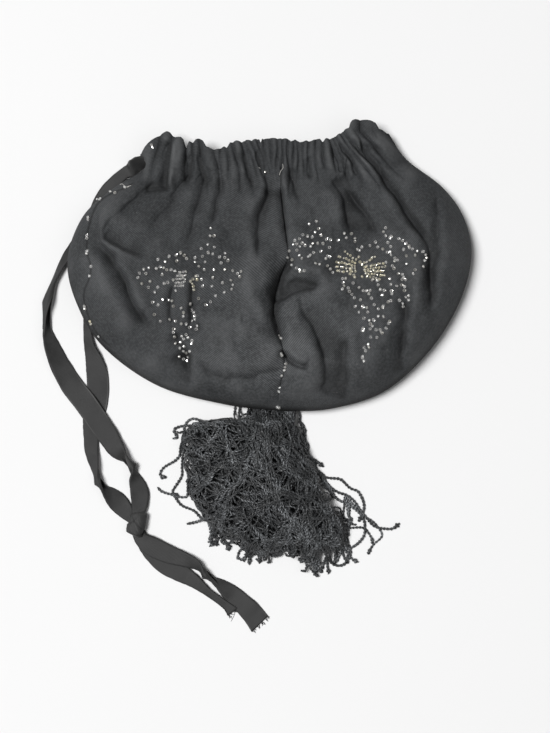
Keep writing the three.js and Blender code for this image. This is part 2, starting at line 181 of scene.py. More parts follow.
def nearest_on_path(points: Array, path: Array) -> Arrays:
    """Find how far plan points lie from a path.

    Args:
        points: The points, two columns.
        path: The path's points, two columns.

    Returns:
        The distance of each point, above 0 on the left of a path that runs down the picture, and the share
        of the path where the point is nearest.
    """
    start, run = path[:-1], np.diff(path, axis=0)
    long_square = np.maximum((run**2).sum(axis=1), TINY)
    distance = np.empty(len(points))
    share = np.empty(len(points))
    for low in range(0, len(points), BLOCK):
        part = slice(low, low + BLOCK)
        offset = points[part][:, None, :] - start[None]
        along = np.clip((offset * run[None]).sum(axis=2) / long_square, 0, 1)
        gap = np.linalg.norm(offset - along[..., None] * run[None], axis=2)
        best = gap.argmin(axis=1)
        rows = np.arange(len(best))
        near = offset[rows, best]
        turn = run[best, 0] * near[:, 1] - run[best, 1] * near[:, 0]
        distance[part] = np.where(turn < 0, -1, 1) * gap[rows, best]
        share[part] = (best + along[rows, best]) / len(run)
    return distance, share


def wave_heights(points: Array, seed: int, lengths: Pair, height: float, creased: bool = False) -> Array:
    """Add up a few waves that run in many directions.

    Args:
        points: Where to read the waves, two columns.
        seed: Which set of waves to draw.
        lengths: The shortest and the longest wave.
        height: How high the waves stand.
        creased: Whether their valleys are sharp, as in cloth that was folded small.

    Returns:
        The height at each point.
    """
    count = 9 if creased else 14
    bend_height, bend_pace, mean = 1.1, 0.6, 0.64
    rng = new_draw(seed)
    total = np.zeros(len(points))
    for _ in range(count):
        angle = rng.uniform(0, FULL_TURN)
        pace = FULL_TURN / rng.uniform(*lengths)
        heading = pace * np.array([math.cos(angle), math.sin(angle)])
        if creased:
            heading = heading / 2
            bend = points @ (bend_pace * quarter_turn(heading)) + rng.uniform(0, FULL_TURN)
            wave = points @ heading + bend_height * np.sin(bend) + rng.uniform(0, FULL_TURN)
            total += np.abs(np.sin(wave)) - mean
        else:
            total += np.sin(points @ heading + rng.uniform(0, FULL_TURN))
    return height * total / math.sqrt(count)


# Shader building


def operation(kind: str, swapped: bool = False) -> Callable:
    """Make a method of Wire that adds a Math node, with the wire as its first value or its second."""

    def method(wire: "Wire", other: object = 0.0) -> "Wire":
        """Add a Math node that works on the wire and another value."""
        left, right = (other, wire) if swapped else (wire, other)
        return wire.bench.node("ShaderNodeMath", {"operation": kind}, {0: left, 1: right})

    return method


class Wire:
    """A socket that carries a number, with arithmetic that adds Math nodes."""

    __add__ = __radd__ = operation("ADD")
    __sub__ = operation("SUBTRACT")
    __rsub__ = operation("SUBTRACT", swapped=True)
    __mul__ = __rmul__ = operation("MULTIPLY")
    sine = operation("SINE")
    size = operation("ABSOLUTE")

    def __init__(self, bench: "Bench", socket: bpy.types.NodeSocket) -> None:
        """Hold the socket and the bench that it belongs to."""
        self.bench = bench
        self.socket = socket


class Bench:
    """One material's nodes, laid out by code."""

    def __init__(self, name: str) -> None:
        """Start a material with only a shader and an output.

        Args:
            name: The material's name.
        """
        self.material = bpy.data.materials.new(name)
        self.material.use_nodes = True
        self.nodes = self.material.node_tree.nodes
        self.links = self.material.node_tree.links
        self.shader = self.nodes["Principled BSDF"]

    def plug(self, target: bpy.types.NodeSocket, value: object) -> None:
        """Feed a socket with a wire or a plain value.

        Args:
            target: The socket.
            value: The wire or the value.
        """
        if isinstance(value, Wire):
            self.links.new(value.socket, target)
        else:
            target.default_value = value

    def node(self, kind: str, settings: dict, inputs: dict, output: int | str = 0) -> Wire:
        """Add a node.

        Args:
            kind: The node's type.
            settings: Its own settings.
            inputs: Values or wires for its sockets.
            output: The socket to hand on.

        Returns:
            The wire from that output.
        """
        node = self.nodes.new(kind)
        for key, value in settings.items():
            setattr(node, key, value)
        for key, value in inputs.items():
            self.plug(node.inputs[key], value)
        return Wire(self, node.outputs[output])

    def noise(self, where: Wire, scale: float, detail: float) -> Wire:
        """A soft noise, in waves for each metre."""
        return self.node("ShaderNodeTexNoise", {}, {"Vector": where, "Scale": scale, "Detail": detail})

    def blend(self, share: object, first: object, second: object) -> Wire:
        """Mix two colours."""
        settings = {"data_type": "RGBA"}
        return self.node("ShaderNodeMix", settings, {0: share, 6: first, 7: second}, output=2)

    def grain(self, where: Wire, grain: "Grain") -> Wire:
        """A noise with its middle range stretched to 0 to 1."""
        return self.between(self.noise(where, grain.scale, grain.detail), grain.low, grain.high)

    def between(
        self, value: Wire, low: float, high: float, to_low: float = 0.0, to_high: float = 1.0
    ) -> Wire:
        """Stretch a range of a value to another range, and stop at its ends."""
        inputs = {0: value, 1: low, 2: high, 3: to_low, 4: to_high}
        return self.node("ShaderNodeMapRange", {"interpolation_type": "SMOOTHSTEP"}, inputs)

    def objects(self) -> Wire:
        """The place on the piece, in metres."""
        return self.node("ShaderNodeTexCoord", {}, {}, output="Object")

    def weave_place(self) -> tuple[Wire, Wire]:
        """Find the place on the cloth itself.

        Returns:
            The metres across it and along it.
        """
        uv = self.node("ShaderNodeUVMap", {"uv_map": "weave"}, {})
        split = self.node("ShaderNodeSeparateXYZ", {}, {0: uv})
        return split, Wire(self, split.socket.node.outputs[1])

    def attribute(self, name: str) -> Wire:
        """A number that the mesh carries."""
        return self.node("ShaderNodeAttribute", {"attribute_name": name}, {}, output="Fac")

    def bump(self, height: Wire, distance: float, strength: float = 0.8) -> Wire:
        """Turn a height into a shading normal."""
        inputs = {"Height": height, "Distance": distance, "Strength": strength}
        return self.node("ShaderNodeBump", {}, inputs)

    def finish(self, **sockets: object) -> Material:
        """Feed the shader.

        Args:
            sockets: A wire or a value for each socket, named with _ for a space.

        Returns:
            The material.
        """
        for key, value in sockets.items():
            self.plug(self.shader.inputs[key.replace("_", " ")], value)
        return self.material


def grey(value: float, warmth: float = 0.0) -> tuple[float, float, float, float]:
    """A grey colour, a little redder than blue where warmth is above 0."""
    return (value * (1 + warmth), value, value * (1 - warmth), 1.0)


# Finishes


@dataclass(frozen=True)
class Grain:
    """A noise: its waves for each metre, its detail, and the range of it that is stretched to 0 to 1."""

    scale: float
    detail: float
    low: float
    high: float


@dataclass(frozen=True)
class TwillFinish:
    """Black cloth in a fine diagonal weave, worn a little on its crests and lighter round the belly, with
    painted shade in its valleys and along its lower outline.
    """

    name: str = "black_twill"
    shade: float = 0.024
    light: float = 0.041
    worn: float = 0.135
    fleck: float = 0.22
    cool: float = -0.05
    pitch: float = 1.4 * MM
    slope: float = 0.78
    mottle: Grain = Grain(55.0, 4.0, 0.32, 0.72)
    patches: Grain = Grain(28.0, 2.0, 0.38, 0.66)
    grain: Grain = Grain(620.0, 3.0, 0.36, 0.66)
    lint: Grain = Grain(900.0, 1.0, 0.745, 0.80)
    wander: float = 160.0
    yarn: float = 2600.0
    casing: Pair = (0.045, 0.075)
    casing_ribs: float = 0.3
    # Twill ribs lighten towards the belly's fullest point and the bottom: partly wear, partly painted light
    fullest: Triple = (0.008, -0.048, 0.034)
    belly: Pair = (0.026, 0.072)
    # Range of crest over which the cloth is painted darker, as painted shade in its valleys
    valleys: Pair = (-1.0, -0.15)
    relief: float = 0.16 * MM

    def make(self) -> Material:
        """Build the material.

        Returns:
            The material.
        """
        bench = Bench(self.name)
        across, along = bench.weave_place()
        place = bench.objects()
        mottle = bench.grain(place, self.mottle)
        patches = bench.grain(place, self.patches)
        grain = bench.grain(place, self.grain)
        lint = bench.grain(place, self.lint)
        diagonal = (across * self.slope + along) * (FULL_TURN / self.pitch)
        waves = (diagonal + bench.noise(place, self.wander, 2.0) * 0.6).sine() * 0.5 + 0.5
        up_the_bag = bench.node("ShaderNodeSeparateXYZ", {}, {0: place}, output=1)
        ribs = waves * bench.between(up_the_bag, *self.casing, 1.0, self.casing_ribs)
        cloth = bench.blend(
            mottle * 0.55 + grain * 0.45, grey(self.shade, self.cool), grey(self.light, self.cool)
        )
        settings, inputs = {"operation": "DISTANCE"}, {0: place, 1: self.fullest}
        away = bench.node("ShaderNodeVectorMath", settings, inputs, output="Value")
        belly = bench.between(away, *self.belly, 1.0, 0.0)
        # Ribs lighter with wear and, round the belly, with painted light
        wear_and_light = (0.10 + patches * 0.26 + grain * 0.16) * (1 + belly * 0.9)
        ribbed = bench.blend(ribs * wear_and_light, cloth, grey(self.worn, -0.03))
        crest = bench.attribute("crest")
        worn = bench.blend(crest * (0.15 + mottle * 0.35), ribbed, grey(self.worn, -0.02))
        # Painted shade: the deeper a valley or cleft, the darker the cloth is painted
        deep = bench.between(crest, *self.valleys, 0.5, 0.0)
        painted_valley_shade = bench.blend(deep, worn, grey(self.shade * 0.4))
        # Dark seam line, plus painted shade along the lower outline
        sewn = bench.blend(bench.attribute("sewn"), painted_valley_shade, grey(self.shade * 0.3))
        flecked = bench.blend(lint * 0.35, sewn, grey(self.fleck, 0.03))
        yarn = bench.noise(place, self.yarn, 2.0)
        height = ribs * (0.35 + patches * 0.65) + yarn * 0.6 + grain * 0.5 + mottle * 0.6
        return bench.finish(
            Base_Color=flecked, Roughness=0.72 + mottle * 0.16, Normal=bench.bump(height, self.relief),
            Specular_IOR_Level=0.14, Sheen_Weight=0.02, Sheen_Roughness=0.45, Sheen_Tint=grey(0.8),
        )


@dataclass(frozen=True)
class RibbonFinish:
    """Black ribbon with fine cross ribs and a firm selvage."""

    name: str = "black_ribbon"
    shade: float = 0.018
    light: float = 0.035
    worn: float = 0.072
    rib: float = 0.75 * MM
    half_width: float = 7 * MM
    selvage: Pair = (0.82, 0.9)
    mottle: Grain = Grain(70.0, 3.0, 0.35, 0.7)
    yarn: float = 2400.0
    relief: float = 0.12 * MM

    def make(self) -> Material:
        """Build the material.

        Returns:
            The material.
        """
        bench = Bench(self.name)
        across, along = bench.weave_place()
        place = bench.objects()
        mottle = bench.grain(place, self.mottle)
        ribs = (along * (FULL_TURN / self.rib)).sine() * 0.5 + 0.5
        start, full = self.selvage
        edge = bench.between(across.size(), self.half_width * start, self.half_width * full)
        cloth = bench.blend(mottle, grey(self.shade), grey(self.light))
        ribbed = bench.blend(ribs * 0.22, cloth, grey(self.worn))
        edged = bench.blend(edge * 0.3, ribbed, grey(self.worn, 0.02))
        height = ribs * (1 - edge) + bench.noise(place, self.yarn, 2.0) * 0.5 + edge * 0.8
        return bench.finish(
            Base_Color=edged, Roughness=0.5 + mottle * 0.2, Normal=bench.bump(height, self.relief),
            Specular_IOR_Level=0.28, Sheen_Weight=0.05, Sheen_Roughness=0.4, Sheen_Tint=grey(0.8),
        )


@dataclass(frozen=True)
class CordFinish:
    """Black twisted cord with loose fibres, with a painted highlight on each ply and painted shade between
    the plies.
    """

    name: str = "black_cord"
    shade: float = 0.013
    light: float = 0.34
    cool: float = -0.05
    tone: Grain = Grain(130.0, 2.0, 0.38, 0.66)
    fibre: Grain = Grain(1500.0, 3.0, 0.42, 0.72)
    relief: float = 0.2 * MM

    def make(self) -> Material:
        """Build the material.

        Returns:
            The material.
        """
        bench = Bench(self.name)
        place = bench.objects()
        tone = bench.grain(place, self.tone)
        fibre = bench.grain(place, self.fibre)
        strand = bench.attribute("strand")
        # Painted highlight on the crest of each ply, with painted shade between the plies
        painted_glint = strand * strand * strand
        share = painted_glint * (0.3 + tone) + fibre * (0.06 + tone * 0.12)
        return bench.finish(
            Base_Color=bench.blend(share, grey(self.shade, self.cool), grey(self.light, self.cool)),
            Roughness=0.36 + fibre * 0.2, Normal=bench.bump(fibre, self.relief), Specular_IOR_Level=0.45,
            Sheen_Weight=0.04, Sheen_Roughness=0.4,
        )


@dataclass(frozen=True)
class SteelBeadFinish:
    """Small faceted steel beads, bright or tarnished one by one."""

    name: str = "cut_steel"
    bright: tuple = (0.96, 0.955, 0.94, 1.0)
    dull: tuple = (0.48, 0.465, 0.43, 1.0)
    yellowed: tuple = (0.90, 0.84, 0.62, 1.0)
    speck: Grain = Grain(1800.0, 2.0, 0.4, 0.7)

    def make(self) -> Material:
        """Build the material.

        Returns:
            The material.
        """
        bench = Bench(self.name)
        tarnish = bench.attribute("tarnish")
        speck = bench.grain(bench.objects(), self.speck)
        steel = bench.blend(tarnish, self.bright, self.dull)
        return bench.finish(
            Base_Color=bench.blend(bench.attribute("yellow"), steel, self.yellowed),
            Metallic=0.74,
            Roughness=0.16 + tarnish * 0.2 + speck * 0.1,
        )


@dataclass(frozen=True)
class ThreadFinish:
    """Pale sewing thread."""

    name: str = "pale_thread"
    shade: float = 0.35
    light: tuple = (0.62, 0.60, 0.56, 1.0)
    fibre: float = 2500.0

    def make(self) -> Material:
        """Build the material.

        Returns:
            The material.
        """
        bench = Bench(self.name)
        fibre = bench.noise(bench.objects(), self.fibre, 2.0)
        return bench.finish(Base_Color=bench.blend(fibre, grey(self.shade, 0.02), self.light), Roughness=0.7)


@dataclass(frozen=True)
class FloorFinish:
    """A plain pale floor."""

    name: str = "pale_floor"
    tone: float = 0.78
    cloud: float = 3.0

    def make(self) -> Material:
        """Build the material.

        Returns:
            The material.
        """
        bench = Bench(self.name)
        cloud = bench.noise(bench.objects(), self.cloud, 2.0)
        colour = bench.blend(cloud, grey(self.tone * 0.98), grey(self.tone))
        return bench.finish(Base_Color=colour, Roughness=0.9, Specular_IOR_Level=0.1)


# Meshes


def deselect() -> None:
    """Deselect everything."""
    bpy.ops.object.select_all(action="DESELECT")


def make_active(piece: Piece) -> None:
    """Select one piece alone.

    Args:
        piece: The piece.
    """
    deselect()
    piece.select_set(True)
    bpy.context.view_layer.objects.active = piece


def edit_all(operator: Callable, **settings: object) -> None:
    """Run an operator in edit mode on all of the active piece.

    Args:
        operator: The operator.
        settings: Its settings.
    """
    bpy.ops.object.mode_set(mode="EDIT")
    bpy.ops.mesh.select_all(action="SELECT")
    operator(**settings)
    bpy.ops.object.mode_set(mode="OBJECT")


def add_grid(name: str, columns: int, rows: int) -> tuple[Piece, Array, Array]:
    """Start a sheet as a flat grid.

    Args:
        name: The piece's name.
        columns: Faces across.
        rows: Faces along.

    Returns:
        The piece, and for each vertex its share across from the left and its share down from the top.
    """
    deselect()
    bpy.ops.mesh.primitive_grid_add(x_subdivisions=columns, y_subdivisions=rows, size=2)
    piece = bpy.context.object
    piece.name = piece.data.name = name
    flat = np.empty(3 * len(piece.data.vertices))
    piece.data.vertices.foreach_get("co", flat)
    x, y, _ = flat.reshape(-1, 3).T
    return piece, (x + 1) / 2, (1 - y) / 2


def place_vertices(piece: Piece, points: Array) -> None:
    """Move a piece's vertices to points in millimetres."""
    piece.data.vertices.foreach_set("co", (points * MM).ravel())
    piece.data.update()


def set_weave(piece: Piece, across: Array, along: Array) -> None:
    """Give a sheet the place on its own cloth as its UV map.

    Args:
        piece: The sheet.
        across: The place across it for each vertex, in millimetres.
        along: The place along it.
    """
    mesh = piece.data
    layer = mesh.uv_layers[0] if mesh.uv_layers else mesh.uv_layers.new()
    layer.name = "weave"
    corners = np.empty(len(mesh.loops), int)
    mesh.loops.foreach_get("vertex_index", corners)
    uv = np.column_stack([across, along])[corners] * MM
    layer.data.foreach_set("uv", uv.ravel())


def set_number(piece: Piece, name: str, values: Array) -> None:
    """Let a mesh carry a number at each vertex."""
    attribute = piece.data.attributes.new(name, "FLOAT", "POINT")
    attribute.data.foreach_set("value", np.asarray(values, np.float32))


def thicken(piece: Piece, wall: float, offset: float) -> None:
    """Give a sheet its wall, and shade it smoothly.

    Args:
        piece: The sheet.
        wall: The wall in millimetres.
        offset: -1 for a wall under the face, or 0 for one to both sides.
    """
    make_active(piece)
    modifier = piece.modifiers.new("wall", "SOLIDIFY")
    modifier.thickness = wall * MM
    modifier.offset = offset
    modifier.use_even_offset = False
    bpy.ops.object.modifier_apply(modifier=modifier.name)
    piece.data.shade_smooth()


def merge_doubles(piece: Piece) -> None:
    """Merge the vertices that lie on one spot."""
    make_active(piece)
    edit_all(bpy.ops.mesh.remove_doubles, threshold=0.01 * MM)


def mesh_piece(name: str, points: Array, faces: list) -> Piece:
    """Make one piece from many small shapes that are already worked out.

    Args:
        name: The piece's name.
        points: The vertices, in millimetres.
        faces: The corners of each face.

    Returns:
        The piece.
    """
    mesh = bpy.data.meshes.new(name)
    mesh.from_pydata((points * MM).tolist(), [], faces)
    mesh.update()
    piece = bpy.data.objects.new(name, mesh)
    bpy.context.collection.objects.link(piece)
    return piece


def tube(path: Array, radius: Array) -> Arrays:
    """Draw a tube along a path, flattened where it rests on the floor.

    Args:
        path: The middle line in millimetres.
        radius: The radius at each point of the path, one column for each side of the tube.

    Returns:
        The vertices, ring after ring, and the faces between the rings.
    """
    sides = radius.shape[1]
    ahead = unit(np.gradient(path, axis=0))
    level = unit(np.cross(UPWARD, ahead))
    upright = np.cross(ahead, level)
    angle = np.linspace(0, FULL_TURN, sides, endpoint=False)
    rings = path[:, None] + level[:, None] * (radius * np.cos(angle))[..., None]
    rings = rings + upright[:, None] * (radius * np.sin(angle))[..., None]
    rings[..., 2] = np.maximum(rings[..., 2], FLOOR_GAP)
    ring = np.arange(sides)
    base = np.arange(len(path) - 1)[:, None] * sides
    low, high = base + ring, base + (ring + 1) % sides
    faces = np.stack([low, high, high + sides, low + sides], axis=2)
    return rings.reshape(-1, 3), faces.reshape(-1, 4)


def tube_piece(name: str, tubes: list[Arrays], sides: int) -> Piece:
    """Join tubes into one piece, with both ends of each closed.

    Args:
        name: The piece's name.
        tubes: The vertices and faces of each.
        sides: How many sides each has.

    Returns:
        The piece.
    """
    points, faces, caps, count = [], [], [], 0
    for rings, quads in tubes:
        points.append(rings)
        faces.append(quads + count)
        caps.append(list(range(count, count + sides))[::-1])
        count += len(rings)
        caps.append(list(range(count - sides, count)))
    piece = mesh_piece(name, np.concatenate(points), np.concatenate(faces).tolist() + caps)
    piece.data.shade_smooth()
    return piece


def dress(piece: Piece, material: Material, slot: str, *nodes: str) -> None:
    """Give a piece its finish, its place on the purse and the nodes that it stands for.

    Args:
        piece: The piece.
        material: Its finish.
        slot: Not used.
        nodes: The CAD nodes that it replaces.
    """
    piece.data.materials.clear()
    piece.data.materials.append(material)
    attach(piece, BODY)
    if nodes:
        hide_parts(*nodes)
    log.info("%s: %d faces", piece.name, len(piece.data.polygons))


# The view


@dataclass(frozen=True)
class View:
    """The camera, and the sight lines through its pixels."""

    width: int = 550
    height: int = 733
    focus: float = 1371.0
    distance: float = 850.0
    elevation: float = 86.0
    target: Triple = (4.0, -53.6, 8.0)
    sensor: float = 36.0

    def axes(self) -> tuple[Array, Array, Array]:
        """The directions ahead, to the right and up in the picture."""
        cosine, sine = (turn(math.radians(self.elevation)) for turn in (math.cos, math.sin))
        return np.array([0.0, cosine, -sine]), np.array([1.0, 0.0, 0.0]), np.array([0.0, sine, cosine])

    def eye(self) -> Array:
        """Where the camera stands."""
        return np.array(self.target) - self.distance * self.axes()[0]

    def rays(self, pixels: Array) -> Array:
        """Find the directions through pixels.

        Args:
            pixels: Columns and rows.

        Returns:
            One direction for each.
        """
        ahead, right, upward = self.axes()
        column = (pixels[:, 0:1] - self.width / 2) / self.focus
        row = (self.height / 2 - pixels[:, 1:2]) / self.focus
        return ahead + column * right + row * upward

    def on_height(self, pixels: Array, height: float) -> Array:
        """Find the points at a height that pixels show."""
        rays, eye = self.rays(pixels), self.eye()
        return eye + rays * ((height - eye[2]) / rays[:, 2:3])

    def pixels(self, points: Array) -> Array:
        """Find the pixels that show points.

        Args:
            points: The points.

        Returns:
            Columns and rows.
        """
        ahead, right, upward = self.axes()
        offset = points - self.eye()
        depth = offset @ ahead
        column = self.width / 2 + self.focus * (offset @ right) / depth
        row = self.height / 2 - self.focus * (offset @ upward) / depth
        return np.column_stack([column, row])

    def millimetres(self) -> float:
        """How much of the purse one pixel spans."""
        return self.distance / self.focus

    def build(self) -> None:
        """Put the camera in place."""
        data = bpy.data.cameras.new("camera")
        data.sensor_width = self.sensor
        data.lens = self.focus * self.sensor / self.height
        camera = bpy.data.objects.new("camera", data)
        camera.location = Vector(self.eye() * MM)
        camera.rotation_euler = Vector(self.axes()[0]).to_track_quat("-Z", "Y").to_euler()
        bpy.context.collection.objects.link(camera)
        bpy.context.scene.camera = camera


# The bag


@dataclass(frozen=True)
class Section:
    """A section of the bag: its left, middle and right points in plan, and the height of its crown."""

    left: Pair
    seam: Pair
    right: Pair
    crown: float


@dataclass(frozen=True)
class Fold:
    """A crease of the front, along a line of pixels that runs down the view or to its right.

    One bank stands high and drops steeply to the crease, and the cloth rises gently on the other side. The
    high bank's side is as for a line that runs down. The depth and the widths of both banks are in
    millimetres.
    """

    line: Line
    depth: float
    steep: float
    gentle: float
    high: Side = Side.LEFT
    fades: float = 0.7

    def relief(self, gap: Array, share: Array) -> Array:
        """Find the height of the cloth.

        Args:
            gap: The distance from the crease.
            share: The share along it.

        Returns:
            The height.
        """
        starts, begun = -0.03, 0.15
        lip_height, lip_gap = 0.24, 0.6
        gap = -gap * self.high.value
        ends = smoothstep(starts, begun, share) * (1 - smoothstep(self.fades, 1.0, share))
        bank = np.exp(-np.maximum(gap, 0) / (self.steep * (0.8 + 0.4 * share)))
        floor = np.exp(-((np.maximum(-gap, 0) / (self.gentle * (0.85 + 0.3 * share))) ** 1.5))
        lip = lip_height * hump(gap, 2.8 * self.steep + lip_gap, 2.0 * self.steep + lip_gap)
        return self.depth * ends * (lip - np.where(gap > 0, bank, floor))


@dataclass(frozen=True)
class Swell:
    """A soft ridge of the front along a line of pixels, with its height and half width in millimetres."""

    line: Line
    height: float
    width: float
    fades: float = 1.0

    def relief(self, gap: Array, share: Array) -> Array:
        """The height of the cloth, from the distance to the ridge and the share along it."""
        past_end = 1.001
        return self.height * (1 - smoothstep(self.fades, past_end, share)) * hump(gap, 0.0, self.width)


SECTIONS = (
    Section((-80.5, 79.2), (2, 86.5), (75.4, 92.4), 18),
    Section((-77.6, 70.6), (2.4, 67), (86.3, 76.2), 19),
    Section((-97.2, 57.8), (2.8, 49), (108.4, 58.8), 23),
    Section((-116.1, 39.8), (3.3, 29), (121.6, 39.8), 28),
    Section((-125.2, 12.4), (3.8, 6), (126.4, 16), 33),
    Section((-119, -15), (4.3, -19), (119, -13), 36),
    Section((-102, -42), (4.8, -43), (100.2, -43.5), 36),
    Section((-68.5, -65.6), (5.3, -62), (72, -69), 36),
    Section((-28, -77), (5.7, -74), (38, -80), 36),
    Section((6, -81.5), (6, -81.5), (6, -81.5), 36),
)

MOUTH_EDGE = (
    (139.7, 154), (141, 150.5), (143.5, 147), (147, 144), (151, 141), (156, 138.3), (161, 136.2),
    (165, 134.6), (167, 134), (170, 135), (172.5, 137.5), (175, 140.3), (181, 140), (183.5, 142),
    (185, 147), (186.5, 151.3), (187.6, 146), (189, 143.5), (193, 144.5), (196, 141), (199, 140),
    (203, 143), (206, 148.5), (210, 150), (214, 151.5), (219, 151), (224, 148), (227, 149.5), (230, 144.5),
    (236, 144), (241, 144.5), (246, 142), (252, 142.5), (257, 141), (259.5, 142), (260.6, 145.5),
    (262, 141), (270, 140), (280, 140.5), (288, 140.5), (291, 143.5), (295, 141), (300, 144), (306, 142.5),
    (311, 143.5), (316, 141), (320, 140.5), (323, 144), (326, 140.5), (330, 141), (334, 139), (338, 137),
    (342, 134.5), (345, 132), (349, 131), (350, 126.5), (352, 123.5), (355, 122), (359, 121.5), (367, 122),
    (371, 122.6), (376, 124.4), (378, 127), (379.5, 129.3), (383, 129.8), (386, 131.3), (389, 134),
)

# Columns of the valleys between the gathers, at the mouth and at the stitch line
GATHERS = (
    (134, 140), (158, 152), (170, 164), (185, 186), (193, 190), (199, 203), (214, 218), (220, 221),
    (226, 229), (234, 239), (241, 249), (247, 256), (253, 262), (259, 265), (264, 269), (270, 273),
    (277, 277), (283, 281), (288, 289), (293, 293), (298, 297.5), (304, 303), (309, 309), (315, 317),
    (322, 326), (330, 338), (336, 346), (341, 357), (347, 368), (353, 379), (372, 396), (396, 420),
)

CENTRE_SEAM = (
    (284, 141), (282, 160), (281, 172), (281, 186), (282.5, 200), (284.5, 218), (287, 240), (289.5, 257),
    (281, 275), (276, 292), (273.5, 312), (279, 333), (282, 345), (284.5, 358), (285, 370), (281.5, 380),
    (279, 392), (278, 406),
)

LEFT_SEAM = (
    (137, 181), (125, 188), (113, 193), (100, 201), (92, 215), (87, 236), (87.5, 253), (91, 266),
    (90, 276), (84.5, 290), (84, 300), (86, 308), (90.5, 322), (99.5, 336), (115, 350),
)

